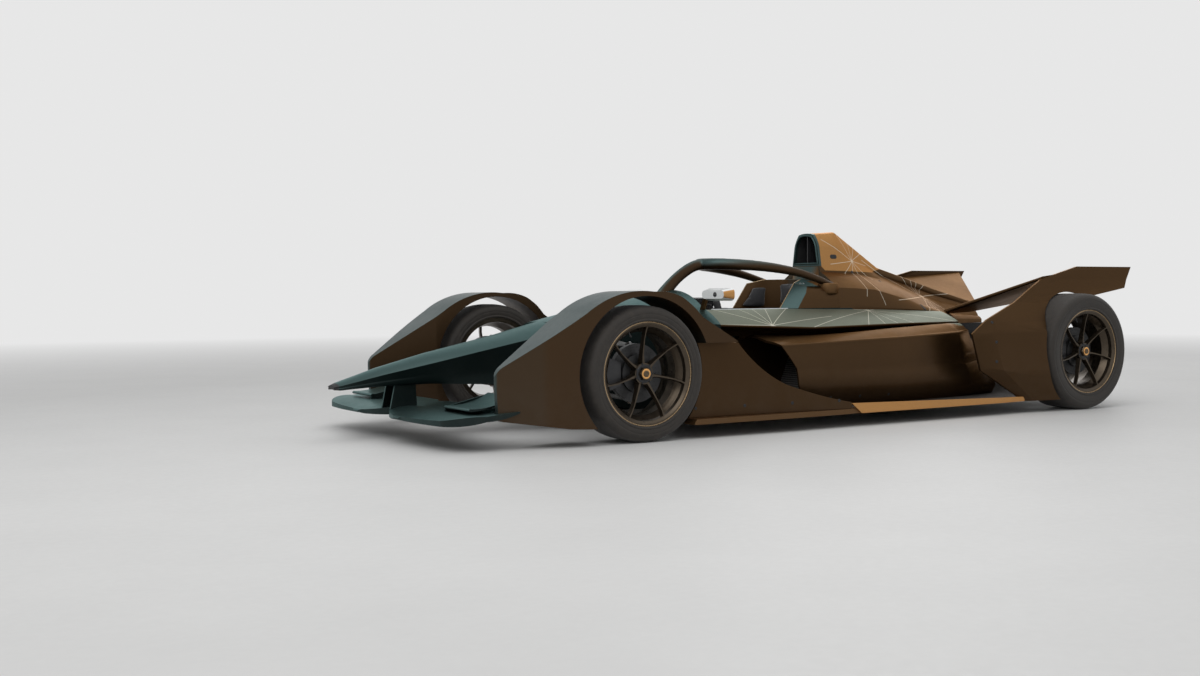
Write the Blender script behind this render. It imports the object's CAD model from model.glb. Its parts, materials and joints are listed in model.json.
"""Looks of a single-seat open wheel racing car: paint, woven composite, rubber, pads and small fittings."""

import json
import random
from math import cos, hypot, pi, radians, sin, tau

import bmesh
import bpy
from bpy.props import FloatProperty, FloatVectorProperty, IntProperty, PointerProperty
from bpy.types import Operator, Panel, PropertyGroup
from mathutils import Matrix, Vector
from mathutils.bvhtree import BVHTree


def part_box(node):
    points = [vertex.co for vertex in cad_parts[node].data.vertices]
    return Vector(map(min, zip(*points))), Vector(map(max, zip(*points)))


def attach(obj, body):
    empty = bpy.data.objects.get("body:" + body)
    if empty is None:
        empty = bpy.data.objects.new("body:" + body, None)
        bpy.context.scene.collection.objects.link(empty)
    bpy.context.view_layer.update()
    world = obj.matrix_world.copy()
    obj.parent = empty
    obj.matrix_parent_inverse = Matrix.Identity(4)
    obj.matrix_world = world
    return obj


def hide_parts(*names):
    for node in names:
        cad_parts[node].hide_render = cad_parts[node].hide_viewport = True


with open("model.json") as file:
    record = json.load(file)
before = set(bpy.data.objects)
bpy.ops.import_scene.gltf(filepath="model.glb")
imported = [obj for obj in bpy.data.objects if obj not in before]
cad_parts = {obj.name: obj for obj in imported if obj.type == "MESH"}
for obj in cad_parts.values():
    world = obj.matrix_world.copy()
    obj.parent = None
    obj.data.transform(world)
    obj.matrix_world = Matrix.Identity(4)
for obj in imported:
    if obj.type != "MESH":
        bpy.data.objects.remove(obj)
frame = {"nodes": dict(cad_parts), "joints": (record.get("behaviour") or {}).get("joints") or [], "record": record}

bl_info = {
    "name": "Racing car looks",
    "version": (1, 0, 0),
    "blender": (4, 5, 0),
    "location": "3D Viewport > Sidebar > Racing Car",
    "description": "Dresses the frame of a single-seat racing car with finishes and fittings",
    "category": "Object",
}

NODES = frame["nodes"]
BODY_OF = {node: body for body, nodes in frame["record"]["behaviour"]["bodies"].items() for node in nodes}
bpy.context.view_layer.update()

# ------------------------------------------------------------------ places read from the frame
TURNING = {joint["name"]: Vector(joint["pos_m"]) for joint in frame["joints"] if "pos_m" in joint}
FRONT_AXLE = TURNING["front_wheel_left_spin"]
REAR_AXLE = TURNING["rear_wheel_left_spin"]
KINGPIN = TURNING["steer_left"]
WHEEL_HUB = TURNING["steering_wheel_turn"]
TUB_LOW, TUB_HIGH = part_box("monocoque")
REST_LOW, REST_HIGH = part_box("headrest")
STRIP_LOW, STRIP_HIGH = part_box("floor_edge_strips")
MIRROR_LOW, MIRROR_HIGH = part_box("mirrors")
COVER_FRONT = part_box("intake_fin")[1].x
COCKPIT_RIM = REST_LOW.z
HALF_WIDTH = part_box("front_tyre_left")[1].y

SIDES = ((1, "left"), (-1, "right"))
LEFTWARD = Vector((0, 1, 0))
DOWN = (0, 0, -1)

# corners of the car that carry a wheel: name, axle, side, tyre node
CORNERS = [
    (f"{end}_wheel_{name}", axle, side, f"{end}_tyre_{name}")
    for end, axle in (("front", FRONT_AXLE), ("rear", REAR_AXLE))
    for side, name in SIDES
]


# ------------------------------------------------------------------ settings that a user would change
def colour(name, description, default):
    """A colour setting."""
    return FloatVectorProperty(
        name=name, description=description, default=default, size=3, min=0, max=1, subtype="COLOR"
    )


def length(name, description, default, low=0.0, high=1.0):
    """A length setting, in metres."""
    return FloatProperty(
        name=name, description=description, default=default, min=low, max=high, unit="LENGTH", precision=4
    )


class BodySettings(PropertyGroup):
    """Paint and edges of the bodywork."""

    main_colour: colour("Main paint", "Dark bronze paint of the fenders, pods and panels", (0.049, 0.0268, 0.0115))
    nose_colour: colour("Nose paint", "Cool dark paint of the nose, wing and cockpit surround", (0.039, 0.064, 0.063))
    fin_colour: colour("Fin paint", "Champagne paint of the intake and fin", (0.36, 0.187, 0.066))
    shelf_colour: colour("Shelf paint", "Pale paint of the shelf beside the cockpit", (0.112, 0.122, 0.094))
    line_colour: colour("Line paint", "Fine lines over the fin and the shelf", (0.72, 0.68, 0.58))
    mirror_colour: colour("Mirror paint", "Paint of the mirror housings", (0.72, 0.74, 0.74))
    edge_radius: length("Edge radius", "Rounding of the bodywork's edges", 0.004, 0.0005, 0.02)
    line_width: length("Line width", "Width of the fine painted lines", 0.0022, 0.001, 0.02)


class WheelSettings(PropertyGroup):
    """Tyres, rims and brakes."""

    rubber_colour: colour("Rubber", "Colour of the tyres", (0.025, 0.0215, 0.0185))
    rim_colour: colour("Rim", "Satin finish of the forged rims", (0.070, 0.055, 0.040))
    lip_colour: colour("Rim lip", "Turned lip of the rims", (0.34, 0.24, 0.14))
    nut_colour: colour("Centre nut", "Anodised finish of the centre nuts", (0.62, 0.33, 0.12))
    shoulder_radius: length("Shoulder", "Rounding between tread and sidewall", 0.034, 0.01, 0.06)
    steps: IntProperty(name="Steps", description="Segments round a wheel", default=128, min=32, max=256)


class CockpitSettings(PropertyGroup):
    """Seat, pads, belts and controls."""

    pad_colour: colour("Pads", "Cover of the seat and head pads", (0.020, 0.020, 0.022))
    belt_colour: colour("Belts", "Webbing of the harness", (0.030, 0.031, 0.034))
    belt_width: length("Belt width", "Width of the harness webbing", 0.050, 0.02, 0.08)


class StageSettings(PropertyGroup):
    """Floor, light and viewpoint."""

    floor_colour: colour("Floor", "Pale studio floor", (0.62, 0.62, 0.615))
    sky_colour: colour("Background", "Pale studio background", (0.80, 0.80, 0.80))
    fill: FloatProperty(name="Fill", description="Strength of the light from all round", default=0.5, min=0, max=2)
    key_power: FloatProperty(name="Key power", description="Power of the main lamp", default=150, unit="POWER")
    lens: FloatProperty(name="Lens", description="Focal length for a 36 mm sensor", default=40.007, min=10, max=200)


# ------------------------------------------------------------------ node groups
def opaque(value):
    """A colour with its alpha, or any other value as it is."""
    plain = isinstance(value, (int, float, bpy.types.NodeSocket))
    return value if plain or len(value) != 3 else (*value, 1)


class Wiring:
    """Short ways to add nodes to one node tree. A value is a socket to link or a plain number."""

    def __init__(self, tree):
        self.tree = tree

    def node(self, kind, **settings):
        """A new shader node with its settings."""
        node = self.tree.nodes.new(f"ShaderNode{kind}")
        for name, value in settings.items():
            setattr(node, name, value)
        return node

    def feed(self, value, socket):
        """Link a socket, or set a plain value."""
        if isinstance(value, bpy.types.NodeSocket):
            self.tree.links.new(value, socket)
        else:
            socket.default_value = value

    def math(self, operation, *values, clamp=False):
        """A Math node's result."""
        node = self.node("Math", operation=operation, use_clamp=clamp)
        for socket, value in zip(node.inputs, values):
            self.feed(value, socket)
        return node.outputs[0]

    def plus(self, first, second):
        """Two values added."""
        return self.math("ADD", first, second)

    def minus(self, first, second):
        """One value less another."""
        return self.math("SUBTRACT", first, second)

    def times(self, first, second):
        """Two values multiplied."""
        return self.math("MULTIPLY", first, second)

    def humps(self, value):
        """Even humps: a sine without its sign."""
        return self.math("ABSOLUTE", self.math("SINE", value))

    def reach(self, first, second):
        """How far two values lead from nought on a flat sheet."""
        return self.math("SQRT", self.plus(self.times(first, first), self.times(second, second)))

    def noise(self, vector, scale, detail=2.0, roughness=0.5):
        """A Noise texture's factor."""
        node = self.node("TexNoise")
        for name, value in (("Vector", vector), ("Scale", scale), ("Detail", detail), ("Roughness", roughness)):
            self.feed(value, node.inputs[name])
        return node.outputs[0]

    def remap(self, value, from_low, from_high, to_low, to_high):
        """A Map Range node, clamped."""
        node = self.node("MapRange")
        for socket, item in zip(node.inputs, (value, from_low, from_high, to_low, to_high)):
            self.feed(item, socket)
        return node.outputs[0]

    def split(self, vector):
        """The x, y and z of a vector."""
        node = self.node("SeparateXYZ")
        self.feed(vector, node.inputs[0])
        return list(node.outputs)

    def place(self):
        """Object coordinates, in metres."""
        return self.node("TexCoord").outputs["Object"]

    def normal(self):
        """The way that the surface faces."""
        return self.node("NewGeometry").outputs["Normal"]


class Group(Wiring):
    """A node group under construction, with its inputs and their defaults, and its outputs."""

    def __init__(self, name, inputs, outputs):
        super().__init__(bpy.data.node_groups.new(name, "ShaderNodeTree"))
        for label, default in inputs.items():
            kind = "NodeSocketVector" if isinstance(default, Vector) else "NodeSocketFloat"
            socket = self.tree.interface.new_socket(name=label, in_out="INPUT", socket_type=kind)
            socket.default_value = default
        for label in outputs:
            self.tree.interface.new_socket(name=label, in_out="OUTPUT", socket_type="NodeSocketFloat")
        self.given = self.tree.nodes.new("NodeGroupInput").outputs
        self.out = self.tree.nodes.new("NodeGroupOutput").inputs

    def put(self, label, value):
        """Give out a value."""
        self.feed(value, self.out[label])


def group_lacquer():
    """Lacquer: a slow change of gloss, faint polishing haze and the fine ripple of sprayed paint."""
    web = Group(
        "lacquer",
        {"Gloss low": 0.3, "Gloss high": 0.4, "Ripple size": 90.0, "Flake": 0.1},
        ("Roughness", "Height", "Flake"),
    )
    given, where = web.given, web.place()
    slow = web.noise(where, 2.3, 4.0, 0.6)
    haze = web.noise(where, 38.0, 3.0, 0.7)
    blend = web.plus(web.times(slow, 0.7), web.times(haze, 0.3))
    web.put("Roughness", web.remap(blend, 0.35, 0.65, given["Gloss low"], given["Gloss high"]))
    web.put("Height", web.noise(where, given["Ripple size"], 1.0))
    sparkle = web.remap(web.noise(where, 2600.0, 0.0), 0.45, 0.75, 0.0, 1.0)
    web.put("Flake", web.times(sparkle, given["Flake"]))
    return web.tree


def group_twill():
    """Twill weave: tows that pass over two and under two, laid on whichever plane the surface faces."""
    web = Group("twill", {"Tows per metre": 330.0}, ("Height", "Shade"))
    tows, where, normal = web.given["Tows per metre"], web.place(), web.normal()
    axes = web.split(where)
    facing = [web.math("POWER", web.math("ABSOLUTE", part), 4.0) for part in web.split(normal)]
    total = web.plus(web.plus(facing[0], facing[1]), facing[2])
    height, shade = 0.0, 0.0
    for first, second, weight in ((1, 2, 0), (0, 2, 1), (0, 1, 2)):
        part = web.math("DIVIDE", facing[weight], total)
        weft, warp = web.times(axes[first], tows), web.times(axes[second], tows)
        step = web.plus(web.math("FLOOR", weft), web.math("FLOOR", warp))
        over = web.math("LESS_THAN", web.math("FLOORED_MODULO", step, 4.0), 2.0)
        weft_hump, warp_hump = web.humps(web.times(weft, pi)), web.humps(web.times(warp, pi))
        under = web.minus(1.0, over)
        top = web.plus(web.times(over, weft_hump), web.times(under, warp_hump))
        height = web.plus(height, web.times(top, part))
        shade = web.plus(shade, web.times(over, part))
    web.put("Height", height)
    web.put("Shade", shade)
    return web.tree


def group_road_film():
    """Road film: fine dust that thickens toward the ground and breaks up in patches."""
    web = Group("road_film", {"Top": 0.35, "Amount": 0.3}, ("Mask",))
    where = web.place()
    low = web.remap(web.split(where)[2], 0.0, web.given["Top"], 1.0, 0.0)
    patch = web.remap(web.noise(where, 14.0, 5.0, 0.65), 0.35, 0.7, 0.25, 1.0)
    speck = web.remap(web.noise(where, 420.0, 2.0, 0.6), 0.5, 0.7, 0.6, 1.0)
    mask = web.times(web.times(low, patch), speck)
    web.put("Mask", web.math("MULTIPLY", mask, web.given["Amount"], clamp=True))
    return web.tree


def group_facing():
    """How far a surface faces a given way, between two limits."""
    web = Group("facing", {"Direction": Vector((0.7, 0.0, 0.7)), "Low": 0.2, "High": 0.7}, ("Mask",))
    given = web.given
    dot = web.node("VectorMath", operation="DOT_PRODUCT")
    web.feed(web.normal(), dot.inputs[0])
    web.feed(given["Direction"], dot.inputs[1])
    web.put("Mask", web.remap(dot.outputs["Value"], given["Low"], given["High"], 0.0, 1.0))
    return web.tree


def group_ray_fan():
    """Straight fine lines that spread from a focus on the side or the top of the car."""
    inputs = {"Focus along": 0.0, "Focus across": 0.3, "On side": 0.0, "Rays": 20.0, "Turn": 0.0}
    web = Group("ray_fan", {**inputs, "Line width": 0.003, "Length": 0.5}, ("Mask",))
    given = web.given
    x, y, z = web.split(web.place())
    across = web.math("ABSOLUTE", y)
    across = web.plus(across, web.times(web.minus(z, across), given["On side"]))
    du, dv = web.minus(x, given["Focus along"]), web.minus(across, given["Focus across"])
    reach = web.reach(du, dv)
    angle = web.plus(web.math("ARCTAN2", dv, du), given["Turn"])
    half_rays = web.times(given["Rays"], 0.5)
    swing = web.humps(web.times(angle, half_rays))
    away = web.math("DIVIDE", web.times(swing, reach), half_rays)
    half = web.times(given["Line width"], 0.5)
    near = web.remap(away, half, web.times(half, 1.7), 1.0, 0.0)
    uneven = web.math("SINE", web.times(angle, 3.0))
    limit = web.times(given["Length"], web.plus(web.times(uneven, 0.3), 0.8))
    web.put("Mask", web.times(near, web.math("LESS_THAN", reach, limit)))
    return web.tree


def group_turned():
    """Turned metal: fine rings round the wheel's axle."""
    web = Group("turned", {"Axle x": 0.0, "Axle z": 0.0, "Rings per metre": 900.0}, ("Height",))
    given = web.given
    x, _, z = web.split(web.place())
    radius = web.reach(web.minus(x, given["Axle x"]), web.minus(z, given["Axle z"]))
    web.put("Height", web.math("SINE", web.times(radius, given["Rings per metre"])))
    return web.tree


def group_cloth():
    """Woven or knitted cover: threads both ways with a slight unevenness."""
    web = Group("cloth", {"Threads per metre": 900.0}, ("Height", "Shade"))
    threads, where = web.given["Threads per metre"], web.place()
    x, y, z = web.split(where)
    weft = web.humps(web.times(web.plus(x, z), threads))
    warp = web.humps(web.times(web.plus(y, web.times(z, 0.2)), threads))
    uneven = web.noise(where, 60.0, 3.0, 0.6)
    web.put("Height", web.times(web.plus(weft, warp), 0.5))
    web.put("Shade", web.times(web.plus(weft, uneven), 0.5))
    return web.tree


GROUPS = {
    "lacquer": group_lacquer,
    "twill": group_twill,
    "road_film": group_road_film,
    "facing": group_facing,
    "ray_fan": group_ray_fan,
    "turned": group_turned,
    "cloth": group_cloth,
}


# ------------------------------------------------------------------ materials
class Finish(Wiring):
    """A material under construction: one Principled shader and the nodes that feed it."""

    def __init__(self, name, **plain):
        self.material = bpy.data.materials.new(name)
        self.material.use_nodes = True
        super().__init__(self.material.node_tree)
        self.shader = self.tree.nodes["Principled BSDF"]
        self.set(**plain)

    def fill(self, node, values):
        """Set or link some of a node's inputs, by their names in lower case."""
        sockets = {socket.name.lower().replace(" ", "_"): socket for socket in node.inputs}
        for name, value in values.items():
            self.feed(value, sockets[name])

    def set(self, **values):
        """Set or link some of the shader's own inputs."""
        self.fill(self.shader, {name: opaque(value) for name, value in values.items()})

    def group(self, name, **given):
        """Place a node group with its own values. Returns its outputs."""
        node = self.node("Group", node_tree=bpy.data.node_groups.get(name) or GROUPS[name]())
        self.fill(node, given)
        return node.outputs

    def mix(self, factor, first, second):
        """Mix two colours by a mask."""
        node = self.node("Mix", data_type="RGBA")
        for number, value in ((0, factor), (6, first), (7, second)):
            self.feed(opaque(value), node.inputs[number])
        return node.outputs[2]

    def bump(self, height, depth, strength, below=None):
        """A Bump node whose depth is in metres. Returns its normal."""
        node = self.node("Bump")
        self.fill(node, {"distance": depth, "strength": strength, "height": height})
        if below is not None:
            self.feed(below, node.inputs["Normal"])
        return node.outputs[0]


def tint(base, factor):
    """A colour made lighter or darker."""
    return tuple(min(1.0, part * factor) for part in base)


# fans of fine lines: what the numbers of a fan are, and the fans on the shelf and on the cover's side
FAN_INPUTS = ("focus_along", "focus_across", "on_side", "rays", "turn", "length")
SHELF_FANS = ((0.30, 0.47, 0.0, 13.0, 0.09, 0.80), (-0.52, 0.32, 0.0, 12.0, 0.21, 0.75))
SIDE_FANS = ((-0.62, 0.878, 1.0, 11.0, 0.10, 0.25), (-1.16, 0.665, 1.0, 12.0, 0.05, 0.44))
FLAKE_TINT = 1.9
PAINT_DUST = (0.16, 0.14, 0.12)
WEAVE_DUST = (0.15, 0.135, 0.12)


def paint(
    name, base, metallic=0.85, low=0.35, high=0.48, coat=0.06, film=0.12, lines=(), second=None,
    flip=(0.25, 0.8), toward=(0.78, 0.0, 0.62), neutral=False,
):
    """Satin metallic paint under lacquer, with a thin film of road dust low down.

    A second colour, where given, shows on the faces that look toward a direction, between the limits of flip.
    Lines are fans of fine rays. The shine at a glancing angle is the paint's own colour, or neutral.
    """
    settings = bpy.context.scene.racer_body
    edge = (1.0, 1.0, 1.0) if neutral else tuple(0.30 + 0.70 * part / max(base) for part in base)
    finish = Finish(name, coat_weight=coat, coat_roughness=0.16, specular_tint=edge)
    lacquer = finish.group("lacquer", gloss_low=low, gloss_high=high, ripple_size=110.0, flake=0.35)
    shade = finish.mix(lacquer["Flake"], base, tint(base, FLAKE_TINT))
    if second is not None:
        other = finish.mix(lacquer["Flake"], second, tint(second, FLAKE_TINT))
        ahead = finish.group("facing", direction=toward, low=flip[0], high=flip[1])["Mask"]
        shade = finish.mix(ahead, shade, other)
    for line in lines:
        fan = finish.group("ray_fan", line_width=settings.line_width, **dict(zip(FAN_INPUTS, line)))["Mask"]
        shade = finish.mix(finish.times(fan, 0.75), shade, settings.line_colour)
    rough = lacquer["Roughness"]
    if film:
        dust = finish.group("road_film", top=0.42, amount=film)["Mask"]
        shade = finish.mix(dust, shade, PAINT_DUST)
        rough = finish.plus(rough, finish.times(dust, 0.45))
        metallic = finish.times(finish.minus(1.0, dust), metallic)
    ripple = finish.bump(lacquer["Height"], 0.00025, 0.35)
    finish.set(base_color=shade, metallic=metallic, roughness=rough, normal=ripple)
    return finish.material


def composite(name, base=(0.022, 0.022, 0.024), low=0.22, high=0.36, coat=0.5):
    """Bare woven composite under clear lacquer."""
    finish = Finish(name, coat_weight=coat, coat_roughness=0.08, specular_ior_level=0.55)
    weave = finish.group("twill", tows_per_metre=330.0)
    lacquer = finish.group("lacquer", gloss_low=low, gloss_high=high, ripple_size=60.0, flake=0.0)
    dust = finish.group("road_film", top=0.30, amount=0.25)["Mask"]
    cloth = finish.mix(weave["Shade"], tint(base, 0.6), tint(base, 1.7))
    finish.set(
        base_color=finish.mix(dust, cloth, WEAVE_DUST),
        roughness=finish.plus(lacquer["Roughness"], finish.times(dust, 0.5)),
        normal=finish.bump(weave["Height"], 0.0002, 0.5),
    )
    return finish.material


def rubber(name, base, axle):
    """Slick tyre rubber: scrubbed tread, moulded sidewall rings and a dusty bloom."""
    finish = Finish(name, specular_ior_level=0.35, sheen_weight=0.12, sheen_roughness=0.5)
    where = finish.place()
    turned = finish.group("turned", axle_x=axle.x, axle_z=axle.z, rings_per_metre=1500.0)
    grain = finish.noise(where, 700.0, 3.0, 0.7)
    scrub = finish.noise(where, 26.0, 5.0, 0.7)
    bloom = finish.remap(scrub, 0.40, 0.68, 0.0, 0.55)
    finish.set(
        base_color=finish.mix(bloom, base, tint(base, 2.3)),
        roughness=finish.remap(scrub, 0.3, 0.7, 0.58, 0.86),
        normal=finish.bump(turned["Height"], 0.0002, 0.25, below=finish.bump(grain, 0.0006, 0.45)),
    )
    return finish.material


def machined(name, base, axle, metallic, low, high, rings):
    """Turned or forged metal round an axle, with faint rings."""
    finish = Finish(name)
    turned = finish.group("turned", axle_x=axle.x, axle_z=axle.z, rings_per_metre=rings)
    streak = finish.noise(finish.place(), 45.0, 4.0, 0.6)
    finish.set(
        base_color=finish.mix(finish.remap(streak, 0.35, 0.7, 0.0, 0.5), base, tint(base, 1.6)),
        metallic=metallic,
        roughness=finish.remap(streak, 0.3, 0.7, low, high),
        normal=finish.bump(turned["Height"], 0.00012, 0.5),
    )
    return finish.material


def casting(name, base, low, high, metallic, grain=240.0, depth=0.0006):
    """Cast, blasted or forged metal with a fine pitted skin."""
    finish = Finish(name)
    where = finish.place()
    pits = finish.noise(where, grain, 4.0, 0.65)
    slow = finish.noise(where, 11.0, 3.0, 0.6)
    finish.set(
        base_color=finish.mix(finish.remap(slow, 0.35, 0.7, 0.0, 0.6), base, tint(base, 1.5)),
        metallic=metallic,
        roughness=finish.remap(pits, 0.3, 0.7, low, high),
        normal=finish.bump(pits, depth, 0.45),
    )
    return finish.material


def fabric(name, base, threads, sheen=0.35):
    """Woven cover of pads and belts."""
    finish = Finish(name, sheen_weight=sheen, sheen_roughness=0.45, specular_ior_level=0.3)
    cloth = finish.group("cloth", threads_per_metre=threads)
    finish.set(
        base_color=finish.mix(cloth["Shade"], tint(base, 0.65), tint(base, 1.7)),
        roughness=finish.remap(cloth["Shade"], 0.0, 1.0, 0.82, 0.94),
        normal=finish.bump(cloth["Height"], 0.0005, 0.6),
    )
    return finish.material


def moulded(name, base, low, high, grain=320.0, depth=0.0003):
    """Moulded plastic with a fine leather-like grain."""
    finish = Finish(name)
    where = finish.place()
    fine = finish.noise(where, grain, 3.0, 0.6)
    slow = finish.noise(where, 9.0, 3.0, 0.6)
    finish.set(
        base_color=finish.mix(finish.remap(slow, 0.3, 0.7, 0.0, 0.5), base, tint(base, 1.4)),
        roughness=finish.remap(fine, 0.3, 0.7, low, high),
        normal=finish.bump(fine, depth, 0.4),
    )
    return finish.material


def lens(name, base, rough, metallic=0.0, ribs=0.0):
    """Dark, red or silvered glass with, where asked, moulded prisms."""
    finish = Finish(name, coat_weight=0.6, metallic=metallic)
    where = finish.place()
    slow = finish.noise(where, 16.0, 2.0)
    finish.set(
        base_color=finish.mix(slow, base, tint(base, 1.25)),
        roughness=finish.remap(slow, 0.3, 0.7, rough, rough + 0.05),
    )
    if ribs:
        _, y, z = finish.split(where)
        wave_y, wave_z = (finish.math("SINE", finish.times(way, ribs)) for way in (y, z))
        finish.set(normal=finish.bump(finish.times(wave_y, wave_z), 0.001, 0.8))
    return finish.material


def finned(name, base):
    """Radiator core: close folded fins between flat tubes."""
    finish = Finish(name)
    _, y, z = finish.split(finish.place())
    fin = finish.math("SINE", finish.times(y, 1500.0))
    tube = finish.math("GREATER_THAN", finish.math("SINE", finish.times(z, 560.0)), 0.55)
    depth = finish.math("MAXIMUM", finish.times(fin, 0.5), tube)
    finish.set(
        base_color=finish.mix(depth, tint(base, 0.25), base),
        metallic=0.8,
        roughness=finish.remap(depth, 0.0, 1.0, 0.65, 0.4),
        normal=finish.bump(depth, 0.002, 0.8),
    )
    return finish.material


MATERIALS = {}


def material(name):
    """A named finish, made when it is first asked for."""
    if name not in MATERIALS:
        MATERIALS[name] = make_material(name)
    return MATERIALS[name]


def make_material(name):
    """Build one finish from the settings."""
    body = bpy.context.scene.racer_body
    wheel = bpy.context.scene.racer_wheels
    cockpit = bpy.context.scene.racer_cockpit
    cool = {"second": body.nose_colour}
    rim, disc = (0.9, 0.26, 0.38, 500.0), (0.5, 0.36, 0.5, 900.0)
    disc_colour = (0.035, 0.035, 0.036)
    recipes = {
        "bronze_black": lambda: paint(name, body.main_colour, neutral=True, **cool),
        "bronze_side": lambda: paint(name, body.main_colour),
        "cool_black": lambda: paint(name, body.nose_colour, low=0.34, high=0.46),
        "nose_paint": lambda: paint(
            name, tint(body.nose_colour, 0.30), flip=(0.30, 0.72), toward=(0.22, 0.0, 0.975), **cool
        ),
        "champagne": lambda: paint(name, body.fin_colour, film=0.0, lines=SIDE_FANS, flip=(0.80, 0.95), **cool),
        "shelf_grey": lambda: paint(
            name, body.shelf_colour, metallic=0.5, low=0.42, high=0.54, film=0.0, lines=SHELF_FANS
        ),
        "cover_paint": lambda: paint(
            name, tint(body.main_colour, 1.25), film=0.0, lines=SIDE_FANS, flip=(0.72, 0.88), **cool
        ),
        "strip_gold": lambda: paint(name, tint(body.fin_colour, 1.3), film=0.15),
        "ledge_paint": lambda: paint(name, tint(body.main_colour, 2.2), film=0.15),
        "foot_bronze": lambda: paint(name, tint(body.main_colour, 2.4), film=0.0),
        "mirror_white": lambda: paint(name, body.mirror_colour, metallic=0.1, film=0.0, coat=0.5, low=0.3, high=0.4),
        "woven": lambda: composite(name),
        "woven_satin": lambda: composite(name, base=(0.024, 0.021, 0.018), low=0.42, high=0.56, coat=0.05),
        "tyre_front": lambda: rubber(name, wheel.rubber_colour, FRONT_AXLE),
        "tyre_rear": lambda: rubber(name, wheel.rubber_colour, REAR_AXLE),
        "rim_front": lambda: machined(name, wheel.rim_colour, FRONT_AXLE, *rim),
        "rim_rear": lambda: machined(name, wheel.rim_colour, REAR_AXLE, *rim),
        "brake_front": lambda: machined(name, disc_colour, FRONT_AXLE, *disc),
        "brake_rear": lambda: machined(name, disc_colour, REAR_AXLE, *disc),
        "lip_bronze": lambda: casting(name, wheel.lip_colour, 0.22, 0.34, 1.0, 90.0, 0.0001),
        "dark_bronze": lambda: casting(name, (0.10, 0.075, 0.050), 0.26, 0.38, 1.0, 140.0, 0.0001),
        "nut_gold": lambda: casting(name, wheel.nut_colour, 0.22, 0.34, 1.0, 140.0, 0.0001),
        "dark_alloy": lambda: casting(name, (0.05, 0.05, 0.052), 0.36, 0.5, 0.8),
        "dark_steel": lambda: casting(name, (0.030, 0.030, 0.032), 0.32, 0.46, 0.6, 160.0, 0.0002),
        "bright_steel": lambda: casting(name, (0.50, 0.50, 0.51), 0.22, 0.36, 1.0, 160.0, 0.0001),
        "pad_cover": lambda: fabric(name, cockpit.pad_colour, 700.0),
        "belt_webbing": lambda: fabric(name, cockpit.belt_colour, 1500.0, 0.2),
        "grip_rubber": lambda: moulded(name, (0.020, 0.020, 0.021), 0.6, 0.78, 900.0, 0.0005),
        "matt_black": lambda: moulded(name, (0.010, 0.010, 0.011), 0.55, 0.7),
        "switch_red": lambda: moulded(name, (0.42, 0.02, 0.015), 0.3, 0.42),
        "switch_pale": lambda: moulded(name, (0.45, 0.45, 0.43), 0.35, 0.45),
        "screen": lambda: lens(name, (0.006, 0.007, 0.009), 0.05),
        "silvered": lambda: lens(name, (0.78, 0.80, 0.82), 0.02, metallic=1.0),
        "lamp_red": lambda: lens(name, (0.42, 0.012, 0.010), 0.10, ribs=700.0),
        "radiator": lambda: finned(name, (0.22, 0.22, 0.22)),
    }
    return recipes[name]()


# ------------------------------------------------------------------ making pieces
def new_piece(name, shape, body, finish, smooth=35.0):
    """A piece from a bmesh, that rides on a body. Edges that turn more than smooth degrees stay sharp."""
    data = bpy.data.meshes.new(name)
    bmesh.ops.recalc_face_normals(shape, faces=shape.faces)
    shape.to_mesh(data)
    shape.free()
    data.validate()
    data.update()
    piece = bpy.data.objects.new(name, data)
    bpy.context.scene.collection.objects.link(piece)
    for each in finish if isinstance(finish, tuple) else [finish]:
        data.materials.append(material(each))
    shade_smooth(data)
    if smooth is not None:
        sharp = bmesh.new()
        sharp.from_mesh(data)
        for edge in sharp.edges:
            edge.smooth = edge.is_manifold and edge.calc_face_angle(0) < radians(smooth)
        sharp.to_mesh(data)
        sharp.free()
    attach(piece, body)
    return piece


def shade_smooth(data):
    """Smooth shading on every face of a mesh."""
    data.polygons.foreach_set("use_smooth", [True] * len(data.polygons))


def settle(piece):
    """Make what the modifiers do into the piece's own mesh. Returns that mesh."""
    graph = bpy.context.evaluated_depsgraph_get()
    data = bpy.data.meshes.new_from_object(piece.evaluated_get(graph))
    piece.modifiers.clear()
    piece.data = data
    return data


def melted(piece, voxel):
    """Remesh a piece in one even skin, with its overlapping parts melted together. Returns its mesh."""
    remesh = piece.modifiers.new("melt", "REMESH")
    remesh.mode = "VOXEL"
    remesh.voxel_size = voxel
    return settle(piece)


def joined(parts):
    """One bmesh from several."""
    whole = bmesh.new()
    for part in parts:
        data = bpy.data.meshes.new("part")
        part.to_mesh(data)
        part.free()
        whole.from_mesh(data)
        bpy.data.meshes.remove(data)
    return whole


def placed(shape, matrix):
    """Move a bmesh."""
    bmesh.ops.transform(shape, matrix=matrix, verts=shape.verts)
    return shape


def along(place, direction, roll=0.0):
    """A matrix that sets a piece's own z axis along a direction at a place."""
    axis = Vector(direction).normalized()
    return Matrix.Translation(place) @ axis.to_track_quat("Z", "Y").to_matrix().to_4x4() @ Matrix.Rotation(roll, 4, "Z")


def set_square(place, x_way, y_way, z_way):
    """A matrix that sets a piece's own three axes along three directions at a place."""
    matrix = Matrix((x_way, y_way, z_way)).transposed().to_4x4()
    matrix.translation = place
    return matrix


def circle(count):
    """The cosine and sine of even steps round a circle."""
    return [(cos(tau * n / count), sin(tau * n / count)) for n in range(count)]


def walled(shape, rings, closed=False):
    """Faces from each ring to the next, and back to the first where closed."""
    for first, second in list(zip(rings, rings[1:])) + ([(rings[-1], rings[0])] if closed else []):
        for n in range(len(first)):
            after = (n + 1) % len(first)
            shape.faces.new((first[n], first[after], second[after], second[n]))
    return shape


def capped(shape, rings):
    """Faces from each ring to the next, with the first and the last ring filled."""
    walled(shape, rings)
    shape.faces.new(list(reversed(rings[0])))
    shape.faces.new(rings[-1])
    return shape


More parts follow.
